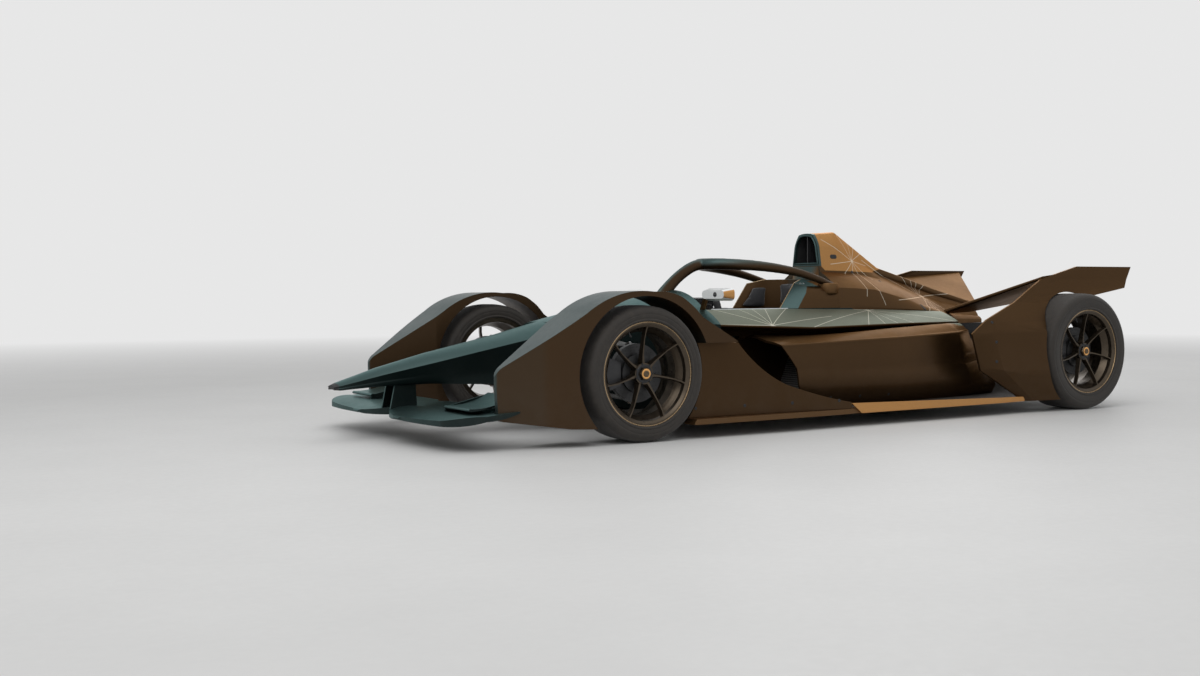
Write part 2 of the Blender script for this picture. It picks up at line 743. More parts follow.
def turned_shape(profile, axle, steps, side, closed=False):
    """A shape turned about an axle. The profile holds (y, radius), with y given for the left side."""
    shape = bmesh.new()
    rings = [
        [shape.verts.new((axle.x + radius * s, y * side, axle.z + radius * c)) for c, s in circle(steps)]
        for y, radius in profile
    ]
    walled(shape, rings, closed)
    if not closed:
        for ring in (rings[0], rings[-1]):
            shape.faces.new(ring)
    return shape


def stepped(profile, sides, matrix):
    """A small fitting turned about its own z axis, set in its place. The profile holds (radius, z)."""
    shape = bmesh.new()
    rings = [[shape.verts.new((radius * c, radius * s, z)) for c, s in circle(sides)] for radius, z in profile]
    return placed(capped(shape, rings), matrix)


def block(size, bevel, matrix, segments=2):
    """A rounded block, centred on its own origin and set in its place."""
    shape = bmesh.new()
    bmesh.ops.create_cube(shape, size=1.0)
    bmesh.ops.scale(shape, vec=size, verts=shape.verts)
    bevelled(shape, bevel, segments)
    return placed(shape, matrix)


def bevelled(shape, width, segments=2):
    """Round every edge of a bmesh."""
    bmesh.ops.bevel(shape, geom=list(shape.edges), offset=width, segments=segments, profile=0.5, affect="EDGES")


def pipe(points, radius, sides):
    """A round bar through points, closed at both ends. The radius is one number or a list of them."""
    points = [Vector(point) for point in points]
    radii = radius if isinstance(radius, list) else [radius] * len(points)
    last = len(points) - 1
    tangents = [(points[min(n + 1, last)] - points[max(n - 1, 0)]).normalized() for n in range(last + 1)]
    normal = tangents[0].orthogonal().normalized()
    shape, rings = bmesh.new(), []
    for point, tangent, size in zip(points, tangents, radii):
        normal = (normal - tangent * normal.dot(tangent)).normalized()
        other = tangent.cross(normal)
        rings.append([shape.verts.new(point + (normal * c + other * s) * size) for c, s in circle(sides)])
    return capped(shape, rings)


def closed_pipe(points, radius, sides):
    """A round bar in a closed loop."""
    points = [Vector(point) for point in points]
    count = len(points)
    centre = sum(points, Vector()) / count
    shape, rings = bmesh.new(), []
    for n, point in enumerate(points):
        tangent = (points[(n + 1) % count] - points[n - 1]).normalized()
        outward = point - centre
        outward = (outward - tangent * outward.dot(tangent)).normalized()
        other = tangent.cross(outward)
        rings.append([shape.verts.new(point + (outward * c + other * s) * radius) for c, s in circle(sides)])
    return walled(shape, rings, closed=True)


def rounded_loop(half_width, half_height, radius):
    """Points round a rectangle with round corners, in its own x and y."""
    steps = 6
    loop = []
    for corner_x, corner_y, start in ((1, 1, 0), (-1, 1, 90), (-1, -1, 180), (1, -1, 270)):
        middle_x, middle_y = corner_x * (half_width - radius), corner_y * (half_height - radius)
        for step in range(steps + 1):
            angle = radians(start + 90 * step / steps)
            loop.append((middle_x + radius * cos(angle), middle_y + radius * sin(angle)))
    return loop


def plate(loop, low, high, matrix=Matrix.Identity(4), bevel=0.0):
    """A plate with a given outline in its own x and y, from low to high along its own z."""
    levels = [(low, 0.0), (high - bevel, 0.0), (high, bevel)] if bevel else [(low, 0.0), (high, 0.0)]
    centre = Vector((sum(p[0] for p in loop), sum(p[1] for p in loop))) / len(loop)
    shape, rings = bmesh.new(), []
    for level, inset in levels:
        ring = []
        for point in loop:
            flat = Vector(point)
            if inset:
                away = flat - centre
                flat = centre + away * (1 - inset / max(away.length, inset * 2))
            ring.append(shape.verts.new((flat.x, flat.y, level)))
        rings.append(ring)
    return placed(capped(shape, rings), matrix)


TREES = {}


def surface(*nodes):
    """A search tree over some of the frame's nodes."""
    if nodes not in TREES:
        points, faces = [], []
        for node in nodes:
            data = NODES[node].data
            start = len(points)
            points += [vertex.co.copy() for vertex in data.vertices]
            faces += [tuple(start + n for n in face.vertices) for face in data.polygons]
        TREES[nodes] = BVHTree.FromPolygons(points, faces)
    return TREES[nodes]


def hit(nodes, start, direction):
    """Where a straight line first meets some nodes, and the normal there that faces back along the line."""
    direction = Vector(direction).normalized()
    place, normal, _, _ = surface(*nodes).ray_cast(Vector(start), direction)
    if place is None:
        raise RuntimeError(f"nothing of {nodes} lies along {tuple(direction)} from {tuple(start)}")
    return place, (-normal if normal.dot(direction) > 0 else normal)


def both(name):
    """A pair of node names."""
    return f"{name}_left", f"{name}_right"


def rounded(piece, radius, angle=28.0, split_by=None):
    """Round a piece's edges, keep its shading steady, and give its faces their finishes."""
    edges = piece.modifiers.new("rounded_edges", "BEVEL")
    edges.width = radius
    edges.segments = 2
    edges.limit_method = "ANGLE"
    edges.angle_limit = radians(angle)
    edges.use_clamp_overlap = True
    edges.harden_normals = False
    weigh = piece.modifiers.new("steady_shading", "WEIGHTED_NORMAL")
    weigh.keep_sharp = False
    weigh.weight = 80
    data = settle(piece)
    if split_by:
        for face in data.polygons:
            face.material_index = split_by(face.center, face.normal)


def softened(name, node, radius, finish, split_by=None, reshape=None, cuts=()):
    """The node's own form with its edges rounded, in its place. Cuts are planes where the finish may change."""
    shape = bmesh.new()
    shape.from_mesh(NODES[node].data)
    bmesh.ops.remove_doubles(shape, verts=shape.verts, dist=0.00002)
    bmesh.ops.dissolve_limit(
        shape, angle_limit=radians(0.6), verts=shape.verts, edges=shape.edges, use_dissolve_boundaries=False
    )
    for place, normal in cuts:
        whole = list(shape.verts) + list(shape.edges) + list(shape.faces)
        bmesh.ops.bisect_plane(shape, geom=whole, dist=0.00001, plane_co=place, plane_no=normal)
    if reshape:
        for vertex in shape.verts:
            vertex.co = reshape(vertex.co.copy())
    piece = new_piece(name, shape, BODY_OF[node], finish, smooth=None)
    rounded(piece, radius, split_by=split_by)
    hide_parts(node)


# ------------------------------------------------------------------ parts of the car, one operator each
class RACER_OT_finishes(Operator):
    """Give each of the frame's own pieces its finish"""

    bl_idname = "racer.finishes"
    bl_label = "Finishes"

    def execute(self, context):
        """Finish by node."""
        for finish, nodes in {
            "woven_satin": ("front_wishbones", "rear_wishbones"),
            "radiator": ("radiators",),
            "dark_alloy": ("gearbox", "rear_uprights", "knuckle_left", "knuckle_right"),
            "matt_black": ("battery",),
            "dark_steel": ("steering_rack",),
            "woven": ("crash_structure", "steering_wheel"),
            "rim_front": both("front_rim"),
            "rim_rear": both("rear_rim"),
            "brake_front": both("front_hub"),
            "brake_rear": both("rear_hub"),
        }.items():
            for node in nodes:
                data = NODES[node].data
                data.materials.clear()
                data.materials.append(material(finish))
        return {"FINISHED"}


def share_of(value, start, end):
    """How far a value has come from start to end, from nought to one."""
    return min(1.0, max(0.0, (value - start) / (end - start)))


def eased(part):
    """A share with a soft start and a soft stop."""
    return part * part * (3 - 2 * part)


PANEL_FLARE = 0.026  # furthest that the rear panel moves out to the tyre's face
ARCH_ROOM = 0.009  # room between the rear panel's arch and the tread
STRIP_SLANT = 0.07  # how far the gold strips' foot starts behind their top
POD_SWEEP = 0.24  # how far the side pod's foot runs back


def over_wheel(point):
    """Flare the rear panel out to the tyre's face just ahead of the wheel, and close its arch to the tread."""
    near = share_of(point.x, REAR_AXLE.x + 0.72, REAR_AXLE.x + 0.37)
    low = share_of(point.z, 0.60, 0.44)
    room = HALF_WIDTH - 0.003 - abs(point.y)
    point.y += (1 if point.y > 0 else -1) * max(0.0, min(PANEL_FLARE * eased(near) * low, room))
    across, up = point.x - REAR_AXLE.x, point.z - REAR_AXLE.z
    reach = hypot(across, up)
    if 0 < reach - REAR_AXLE.z < 0.03 and up > 0.15:
        closer = (REAR_AXLE.z + ARCH_ROOM) / reach
        point.x, point.z = REAR_AXLE.x + across * closer, REAR_AXLE.z + up * closer
    return point


def slanted(point):
    """The gold strips start in a slant."""
    if point.x > STRIP_HIGH.x - 0.02:
        point.x -= STRIP_SLANT * (STRIP_HIGH.z - point.z) / (STRIP_HIGH.z - STRIP_LOW.z)
    return point


def swept(point):
    """The pod's foot runs on toward the rear panel."""
    point.x -= POD_SWEEP * eased(share_of(point.x, -0.80, -1.12)) * share_of(point.z, 0.44, 0.14)
    return point


NOSE_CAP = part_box("nose")[1].x - 0.020
MIRROR_STALK = MIRROR_LOW.z + 0.052  # top of the stalks
MIRROR_END = MIRROR_HIGH.y - 0.03  # where the champagne ends start
LEDGE = 0.80  # half width at which the floor's painted ledge starts
MOUTH = COVER_FRONT - 0.016  # where the dark band round the intake's mouth ends
THROAT_Z, THROAT_LOW, THROAT_HALF, THROAT_DEPTH = 0.93, 0.85, 0.112, 0.27
SHELF_EDGE, SHELF_LOW = 0.505, COCKPIT_RIM - 0.11  # half width and lowest height of the pale shelf
LOOKS_UP = 0.55  # how far up a face has to look to count as level


def on_nose(centre, normal):
    """A dark cap covers the sensor at the tip."""
    return int(centre.x > NOSE_CAP)


def on_mirror(centre, normal):
    """The stalks match the side panels, and the outer ends are champagne."""
    if centre.z < MIRROR_STALK:
        return 1
    return 2 if abs(normal.y) > 0.75 and abs(centre.y) > MIRROR_END else 0


def on_floor(centre, normal):
    """The ledge outside the side panels is painted."""
    return int(abs(centre.y) > LEDGE and centre.x > STRIP_LOW.x)


def on_fin(centre, normal):
    """The throat of the intake is black, and the band round its mouth is dark."""
    if centre.x > MOUTH:
        return 1
    inward = Vector((0, centre.y, centre.z - THROAT_Z)).dot(normal) < 0
    within = centre.x > COVER_FRONT - THROAT_DEPTH and abs(centre.y) < THROAT_HALF and centre.z > THROAT_LOW
    return 2 if inward and within else 0


def on_shelf(centre, normal):
    """The pale shelf lies between the cockpit and the pod's shoulder, and looks up."""
    return int(normal.z > LOOKS_UP and abs(centre.y) < SHELF_EDGE and centre.z > SHELF_LOW)


def on_tub(centre, normal):
    """The tub shows its own paint on the outside and woven composite in the cockpit."""
    inside = (
        abs(centre.y) < TUB_HIGH.y
        and TUB_LOW.x + 0.05 < centre.x < KINGPIN.x - 0.4
        and centre.z < COCKPIT_RIM - 0.004
        and Vector((0, centre.y, 0)).dot(normal) < 0
    )
    if inside:
        return 2
    return int(centre.x < WHEEL_HUB.x + 0.2 and normal.z > LOOKS_UP and abs(centre.y) > REST_HIGH.y)


CAP_CUT = [((NOSE_CAP, 0, 0), (1, 0, 0))]
LEDGE_CUTS = [((0, LEDGE, 0), (0, 1, 0)), ((0, -LEDGE, 0), (0, 1, 0)), ((STRIP_LOW.x, 0, 0), (1, 0, 0))]
MOUTH_CUT = [((MOUTH, 0, 0), (1, 0, 0))]
POD_FINISH = ("bronze_side", "shelf_grey")
BODYWORK = [
    # piece, node, share of the edge radius, finish, which finish a face has, change of form, planes to cut at
    ("fender_skin_left", "fender_left", 1.5, "bronze_black"),
    ("fender_skin_right", "fender_right", 1.5, "bronze_black"),
    ("front_wing_skin", "front_wing", 0.8, "nose_paint"),
    ("front_flap_skin", "front_flaps", 0.5, "nose_paint"),
    ("side_panel_skin", "side_panels", 0.6, "bronze_side"),
    ("winglet_skin", "rear_winglets", 0.4, "bronze_side"),
    ("rear_panel_skin_left", "rear_panel_left", 0.6, "bronze_side", None, over_wheel),
    ("rear_panel_skin_right", "rear_panel_right", 0.6, "bronze_side", None, over_wheel),
    ("nose_skin", "nose", 0.8, ("nose_paint", "matt_black"), on_nose, None, CAP_CUT),
    ("mirror_skin", "mirrors", 0.8, ("mirror_white", "ledge_paint", "strip_gold"), on_mirror),
    ("edge_strip_skin", "floor_edge_strips", 0.4, "strip_gold", None, slanted),
    ("floor_skin", "floor", 0.4, ("woven_satin", "ledge_paint"), on_floor, None, LEDGE_CUTS),
    ("fin_skin", "intake_fin", 1.0, ("champagne", "cool_black", "matt_black"), on_fin, None, MOUTH_CUT),
    ("cover_skin", "engine_cover", 0.6, "cover_paint"),
    ("sidepod_skin_left", "sidepod_left", 0.7, POD_FINISH, on_shelf, swept),
    ("sidepod_skin_right", "sidepod_right", 0.7, POD_FINISH, on_shelf, swept),
    ("tub_skin", "monocoque", 0.7, ("nose_paint", "shelf_grey", "woven"), on_tub),
]


class RACER_OT_bodywork(Operator):
    """Paint the bodywork and round its edges"""

    bl_idname = "racer.bodywork"
    bl_label = "Bodywork"

    def execute(self, context):
        """Skins with rounded edges."""
        for name, node, part, *rest in BODYWORK:
            softened(name, node, context.scene.racer_body.edge_radius * part, *rest)
        return {"FINISHED"}


def smooth_step(a, b, c, d, t):
    """A place between b and c, on the smooth line through all four. For numbers or vectors."""
    return 0.5 * (2 * b + (c - a) * t + (2 * a - 5 * b + 4 * c - d) * t**2 + (3 * b - a - 3 * c + d) * t**3)


def neighbours(stops, n):
    """The four stops round the span that starts at stop n."""
    return [stops[max(0, min(len(stops) - 1, k))] for k in (n - 1, n, n + 1, n + 2)]


def fair_line(stops, per_span=8):
    """A smooth line through points that may carry extra numbers."""
    line = []
    for n in range(len(stops) - 1):
        around = neighbours(stops, n)
        for step in range(per_span):
            line.append(tuple(smooth_step(*four, step / per_span) for four in zip(*around)))
    return line + [tuple(stops[-1])]


class RACER_OT_hoop(Operator):
    """Head protection hoop: one flowing casting of hoop, centre pillar and feet"""

    bl_idname = "racer.hoop"
    bl_label = "Hoop"

    # x, y, z and radius along the left half of the hoop, from its apex
    half_hoop = [
        (0.412, 0.000, 0.8550, 0.0330),
        (0.400, 0.050, 0.8550, 0.0330),
        (0.360, 0.108, 0.8540, 0.0325),
        (0.292, 0.164, 0.8500, 0.0315),
        (0.192, 0.212, 0.8420, 0.0295),
        (0.072, 0.245, 0.8270, 0.0270),
        (-0.058, 0.260, 0.8040, 0.0245),
        (-0.188, 0.262, 0.7700, 0.0220),
        (-0.270, 0.256, 0.7440, 0.0210),
        (-0.345, 0.244, 0.7250, 0.0170),
    ]
    # x, z, half thickness and half chord of the pillar, from its foot
    pillar = [
        (0.690, 0.672, 0.024, 0.048),
        (0.655, 0.716, 0.017, 0.040),
        (0.600, 0.768, 0.0155, 0.036),
        (0.538, 0.812, 0.0170, 0.034),
        (0.475, 0.843, 0.0220, 0.032),
        (0.415, 0.857, 0.0300, 0.031),
    ]
    # radius and height of the collar round each foot
    foot = [(0.056, -0.040), (0.0600, -0.034), (0.0600, 0.0130), (0.0588, 0.0172), (0.0555, 0.0195), (0.030, 0.0200)]
    foot_place = Vector((-0.278, 0.250, 0.727))
    sides = 20
    voxel = 0.0055
    smoothings = 12

    def execute(self, context):
        """Rings along both lines, melted together."""
        half = fair_line(self.half_hoop)
        whole = [(x, -y, z, r) for x, y, z, r in reversed(half)] + half[1:]
        hoop = pipe([stop[:3] for stop in whole], [stop[3] for stop in whole], self.sides)
        pillar, rings = bmesh.new(), []
        line = fair_line(self.pillar)
        for n, (x, z, thick, chord) in enumerate(line):
            before, after = line[max(n - 1, 0)], line[min(n + 1, len(line) - 1)]
            way = Vector((after[0] - before[0], 0, after[1] - before[1])).normalized()
            middle, across = Vector((x, 0, z)), Vector((way.z, 0, -way.x))
            ring = [middle + across * chord * c + Vector((0, thick * s, 0)) for c, s in circle(self.sides)]
            rings.append([pillar.verts.new(point) for point in ring])
        shape = joined([hoop, capped(pillar, rings)])
        piece = new_piece("hoop_casting", shape, "chassis", "bronze_black", smooth=None)
        data = melted(piece, self.voxel)
        shape = bmesh.new()
        shape.from_mesh(data)
        for _ in range(self.smoothings):
            bmesh.ops.smooth_vert(
                shape, verts=shape.verts, factor=0.5, use_axis_x=True, use_axis_y=True, use_axis_z=True
            )
        shape.to_mesh(data)
        shape.free()
        shade_smooth(data)
        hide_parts("halo")
        x, y, z = self.foot_place
        feet = [stepped(self.foot, 48, Matrix.Translation((x, side * y, z))) for side, _ in SIDES]
        new_piece("hoop_feet", joined(feet), "chassis", "foot_bronze")
        return {"FINISHED"}


WALL_LEAN = 0.72  # how far the walls beside the head lean back for each metre up


class RACER_OT_headrest(Operator):
    """Walls beside the driver's head, with broad slanted fronts, piping and screws"""

    bl_idname = "racer.headrest"
    bl_label = "Headrest"

    # outer x and y, inner x and y, and backward lean, of the left wall from the middle of its back to its front
    wall = [
        (-0.330, 0.000, -0.264, 0.000, 0.00),
        (-0.330, 0.100, -0.262, 0.045, 0.00),
        (-0.330, 0.200, -0.245, 0.092, 0.00),
        (-0.330, 0.296, -0.190, 0.135, 0.03),
        (-0.210, 0.296, -0.130, 0.165, 0.15),
        (-0.110, 0.296, -0.045, 0.190, 0.55),
        (-0.028, 0.288, 0.042, 0.214, 1.00),
    ]
    # share of the way from outside to inside, inset at the side, and height (none: on the sloping top)
    ring = [
        (0.0, 0.0, COCKPIT_RIM),
        (0.0, 0.0035, 0.650),
        (0.0, 0.007, 0.692),
        (0.0, 0.034, None),
        (0.35, 0.022, None),
        (0.7, 0.010, None),
        (1.0, 0.0, None),
        (1.0, 0.0, COCKPIT_RIM),
    ]
    screw = [(0.0060, -0.002), (0.0060, 0.0016), (0.0048, 0.0026), (0.0024, 0.0026)]

    def section(self, outer_x, outer_y, inner_x, inner_y, lean, side):
        """One slice of the wall: up the outside, over the top and down the inside."""
        outer_x, outer_y, inner_y = max(outer_x, REST_LOW.x), min(outer_y, REST_HIGH.y), max(inner_y, 0.0)
        turn = max(0.0, (outer_y - 0.2) / 0.096)
        points = []
        for part, inset, z in self.ring:
            y = outer_y + (inner_y - outer_y) * part - inset * turn
            z = min(REST_HIGH.z, 0.7765 - 0.447 * max(0.0, y - 0.15)) if z is None else z
            x = outer_x + (inner_x - outer_x) * part - lean * WALL_LEAN * (z - COCKPIT_RIM)
            points.append(Vector((x, side * y, z)))
        return points

    def on_wall(self, centre, normal):
        """The slanted fronts match the nose."""
        level = normal.z > 0.8 and centre.x > -0.19 and abs(centre.y) > 0.14
        return int(level or (normal.x > 0.45 and abs(centre.y) > 0.175))

    def execute(self, context):
        """Both walls in one piece, and their trim."""
        shape = bmesh.new()
        piping, screws = [], []
        for side, _ in SIDES:
            slices = [self.section(*stop, side) for stop in fair_line(self.wall, 5)]
            rings = [[shape.verts.new(point) for point in points] for points in slices]
            walled(shape, rings)
            shape.faces.new(rings[-1])
            top, foot = slices[-1][-2], slices[-1][-1]
            edge = [foot.lerp(top, n / 8) for n in range(9)] + [points[-2] for points in reversed(slices[-12:-2])]
            piping.append(pipe(edge, 0.0024, 8))
            for reach in (-0.100, -0.124):
                screws.append(stepped(self.screw, 16, along((reach, side * 0.222, 0.7445), (0, side * 0.41, 0.91))))
        bmesh.ops.remove_doubles(shape, verts=shape.verts, dist=0.0002)
        finish = ("cover_paint", "cool_black")
        piece = new_piece("headrest_skin", shape, "chassis", finish, smooth=None)
        rounded(piece, context.scene.racer_body.edge_radius * 1.5, 35.0, self.on_wall)
        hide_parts("headrest")
        new_piece("headrest_piping", joined(piping), "chassis", "lip_bronze")
        new_piece("headrest_screws", joined(screws), "chassis", "bright_steel")
        return {"FINISHED"}


class RACER_OT_cockpit_trim(Operator):
    """Bead along the cockpit's rim"""

    bl_idname = "racer.cockpit_trim"
    bl_label = "Cockpit trim"

    back, front, out = 0.035, 0.560, 0.276  # ends of the beads in x, and how far out they lie

    def execute(self, context):
        """A thin bead each side."""
        beads = []
        for side, _ in SIDES:
            points = []
            for n in range(40):
                x = self.back + (self.front - self.back) * n / 39
                place, normal = hit(("monocoque", "sidepod_left", "sidepod_right"), (x, side * self.out, 1.0), DOWN)
                points.append(place + normal * 0.001)
            beads.append(pipe(points, 0.0028, 8))
        new_piece("cockpit_bead", joined(beads), "chassis", "mirror_white")
        return {"FINISHED"}


class RACER_OT_tyres(Operator):
    """Slick tyres with moulded beads, a thin scuff rib and a rounded shoulder"""

    bl_idname = "racer.tyres"
    bl_label = "Tyres"

    # depth in from the sidewall and radius, from the bead outward
    bead = [
        (0.0213, 0.2293),
        (0.0173, 0.2445),
        (0.0060, 0.2453),
        (0.0022, 0.2466),
        (0.0006, 0.2492),
        (0.0002, 0.2525),
        (0.0006, 0.2552),
        (0.0024, 0.2566),
        (0.0026, 0.2590),
        (0.0014, 0.2615),
    ]
    # depth in from the sidewall and distance in from the tread, of the scuff rib and of the tread's crown
    rib = [(0.0008, 0.052), (0.0004, 0.046), (0.0004, 0.0435), (0.0012, 0.0425), (0.0012, 0.0405), (0.0006, 0.0395)]
    crown = [(0.052, 0.0018), (0.074, 0.0006)]

    def execute(self, context):
        """One tyre a corner."""
        settings = context.scene.racer_wheels
        for body, axle, side, node in CORNERS:
            low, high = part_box(node)
            radius = (high.z - low.z) / 2
            outer, inner = max(abs(low.y), abs(high.y)), min(abs(low.y), abs(high.y))
            wall = self.bead + [(depth, radius - drop) for depth, drop in self.rib]
            turn = settings.shoulder_radius * 0.95
            for step in range(9):
                angle = radians(8 + 82 * step / 8)
                wall.append((turn * (1 - cos(angle)) + 0.0008, radius - 0.0035 - turn * (1 - sin(angle))))
            wall += [(depth, radius - drop) for depth, drop in self.crown]
            profile = [(outer - depth, ring) for depth, ring in wall]
            profile += [(inner + depth, ring) for depth, ring in reversed(wall)]
            shape = turned_shape(profile, axle, settings.steps, side)
            bmesh.ops.delete(shape, geom=[face for face in shape.faces if len(face.verts) > 4], context="FACES_ONLY")
            bmesh.ops.bridge_loops(shape, edges=[edge for edge in shape.edges if edge.is_boundary])
            name = f"{body.replace('_wheel', '')}_slick"
            piece = new_piece(name, shape, body, f"tyre_{body.split('_')[0]}", smooth=50)
            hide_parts(node)
        return {"FINISHED"}


class RACER_OT_wheel_fittings(Operator):
    """Centre nuts with locking rings, valves, and the drilled faces of the brake discs"""

    bl_idname = "racer.wheel_fittings"
    bl_label = "Wheel fittings"

    # radius and height of each turned part
    nut = [
        (0.0322, 0.0), (0.0322, 0.013), (0.0292, 0.0185), (0.0205, 0.0185),
        (0.0190, 0.0165), (0.0165, 0.0165), (0.0155, 0.0195), (0.0060, 0.0205),
    ]
    pin = [(0.0150, 0.0), (0.0150, 0.0225), (0.0125, 0.0240), (0.0085, 0.0240), (0.0075, 0.0225)]
    ring = [(0.0240, 0.0), (0.0240, 0.0200), (0.0215, 0.0212), (0.0170, 0.0205)]
    collar = [(0.0440, 0.0), (0.0440, 0.0025), (0.0420, 0.0042), (0.0345, 0.0042), (0.0335, 0.0030)]
    peg = [(0.0040, 0.0), (0.0040, 0.0040), (0.0030, 0.0052)]
    valve = [
        (0.0060, 0.0), (0.0060, 0.004), (0.0035, 0.006), (0.0035, 0.020),
        (0.0046, 0.021), (0.0046, 0.030), (0.0032, 0.0325),
    ]
    hole = [(0.0027, -0.001), (0.0027, 0.0001), (0.0020, 0.00045)]
    # depth, radius and half thickness of the rim's turned lips
    lips = [(0.0010, 0.2418, 0.0033), (0.0105, 0.2300, 0.0018)]
    # radius, count and offset of the rings of holes
    hole_rings = [(0.092, 24, 0.0), (0.107, 30, 0.5), (0.123, 36, 0.0)]
    nut_seat, collar_seat, disc_seat, spokes = 0.0355, 0.0345, 0.0958, 7

    def execute(self, context):
        """Fittings at each corner."""
        face = HALF_WIDTH - 0.009
        for body, axle, side, _ in CORNERS:
            short = body.replace("_wheel", "")
            outward = Vector((0, side, 0))

            def at(depth, radius=0.0, angle=0.0):
                """A place in the wheel, at a depth from its outer face."""
                return Vector((axle.x + radius * sin(angle), side * (face - depth), axle.z + radius * cos(angle)))

            def fitting(profile, sides, *place):
                """A turned part that points outward."""
                return stepped(profile, sides, along(at(*place), outward))

            nut, pin, ring = (
                fitting(profile, sides, self.nut_seat)
                for profile, sides in ((self.nut, 6), (self.pin, 32), (self.ring, 32))
            )
            new_piece(f"{short}_centre_nut", nut, body, "dark_bronze", smooth=25)
            new_piece(f"{short}_nut_ring", ring, body, "nut_gold")
            new_piece(f"{short}_nut_pin", pin, body, "dark_bronze")
            collar = [fitting(self.collar, 40, self.collar_seat)]
            for n in range(self.spokes):
                collar.append(fitting(self.peg, 12, self.collar_seat, 0.0475, tau * n / self.spokes + 0.22))
            new_piece(f"{short}_drive_collar", joined(collar), body, "dark_steel")
            lips = []
            for depth, radius, thick in self.lips:
                profile = [(face - depth + thick * c, radius + thick * s) for c, s in circle(8)]
                lips.append(turned_shape(profile, axle, 96, side, closed=True))
            new_piece(f"{short}_rim_lips", joined(lips), body, "lip_bronze")
            angle = tau * 0.5 / self.spokes
            stem = at(0.020, 0.2225, angle)
            valve = stepped(self.valve, 14, along(stem, at(0.016, 0.18, angle) - stem))
            new_piece(f"{short}_valve", valve, body, "dark_steel")
            holes = []
            for radius, count, offset in self.hole_rings:
                for n in range(count):
                    holes.append(fitting(self.hole, 10, self.disc_seat, radius, tau * (n + offset) / count))
            new_piece(f"{short}_disc_holes", joined(holes), body, "matt_black")
        return {"FINISHED"}


class RACER_OT_suspension_fittings(Operator):
    """Gaiters where the wishbones enter the body, kingpin nuts and drive shaft boots"""

    bl_idname = "racer.suspension_fittings"
    bl_label = "Suspension fittings"

    gaiter = [
        (0.038, -0.03), (0.036, 0.004), (0.031, 0.012), (0.033, 0.018), (0.026, 0.028), (0.028, 0.033), (0.020, 0.042)
    ]
    nut = [(0.0125, -0.012), (0.0125, 0.0), (0.0105, 0.003), (0.0070, 0.003), (0.0065, 0.006)]
    # height at the knuckle, and height and half width at the body, of the lower and the upper wishbone
    wishbones = [(0.2, 0.235, 0.140), (0.44, 0.455, 0.180)]
    leg_reaches = (0.058, -0.230)
    # first and last y of the boots, and their number of ridges
    boots, ridges = ((0.172, 0.262), (0.655, 0.585)), 6

    def execute(self, context):
        """Fittings of all four corners."""
        gaiters = []
        for outer_z, inner_z, inner_y in self.wishbones:
            for reach in self.leg_reaches:
                for side, _ in SIDES:
                    outer = Vector((FRONT_AXLE.x, side * (KINGPIN.y - 0.012), outer_z))
                    inner = Vector((FRONT_AXLE.x + reach, side * inner_y, inner_z))
                    place, _ = hit(("monocoque", "nose"), outer, inner - outer)
                    gaiters.append(stepped(self.gaiter, 24, along(place, outer - inner)))
        new_piece("wishbone_gaiters", joined(gaiters), "chassis", "grip_rubber")
        for side, name in SIDES:
            low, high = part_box(f"knuckle_{name}")
            nuts = [
                stepped(self.nut, 6, along((KINGPIN.x, side * KINGPIN.y, z), (0, 0, up)))
                for z, up in ((high.z, 1), (low.z, -1))
            ]
            new_piece(f"kingpin_nuts_{name}", joined(nuts), f"knuckle_{name}", "bright_steel")
            boots = []
            for start, end in self.boots:
                step = (end - start) / self.ridges
                profile = []
                for n in range(self.ridges):
                    taper = 1 - 0.4 * n / self.ridges
                    y = start + step * n
                    profile += [(y, 0.060 * taper), (y + step * 0.5, 0.052 * taper)]
                boots.append(turned_shape(profile + [(end, 0.033)], REAR_AXLE, 36, side))
            body = f"rear_wheel_{name}"
            new_piece(f"shaft_boots_{name}", joined(boots), body, "grip_rubber", smooth=70)
        return {"FINISHED"}


FASTENERS = [
    # nodes that carry the row, first start, last start, direction, count
    (("engine_cover", "intake_fin"), (-0.592, 0.40, 0.813), (-0.800, 0.40, 0.760), (0, -1, 0), 2),
    (("nose",), (1.475, 0.40, 0.490), (1.475, 0.40, 0.260), (0, -1, 0), 3),
    (("monocoque",), (1.425, 0.50, 0.470), (1.425, 0.50, 0.270), (0, -1, 0), 3),
    (("fender_left",), (1.645, 1.0, 0.580), (1.645, 1.0, 0.580), (0, -1, 0), 1),
    (("side_panels",), (0.18, 1.0, 0.140), (1.05, 1.0, 0.140), (0, -1, 0), 4),
    (("floor",), (0.05, 0.76, 0.30), (-1.15, 0.76, 0.30), (0, 0, -1), 7),
    (("sidepod_left",), (0.30, 1.0, 0.140), (-0.95, 1.0, 0.140), (0, -1, 0), 7),
    (("rear_panel_left",), (-1.02, 1.1, 0.300), (-1.02, 1.1, 0.520), (0, -1, 0), 3),
]


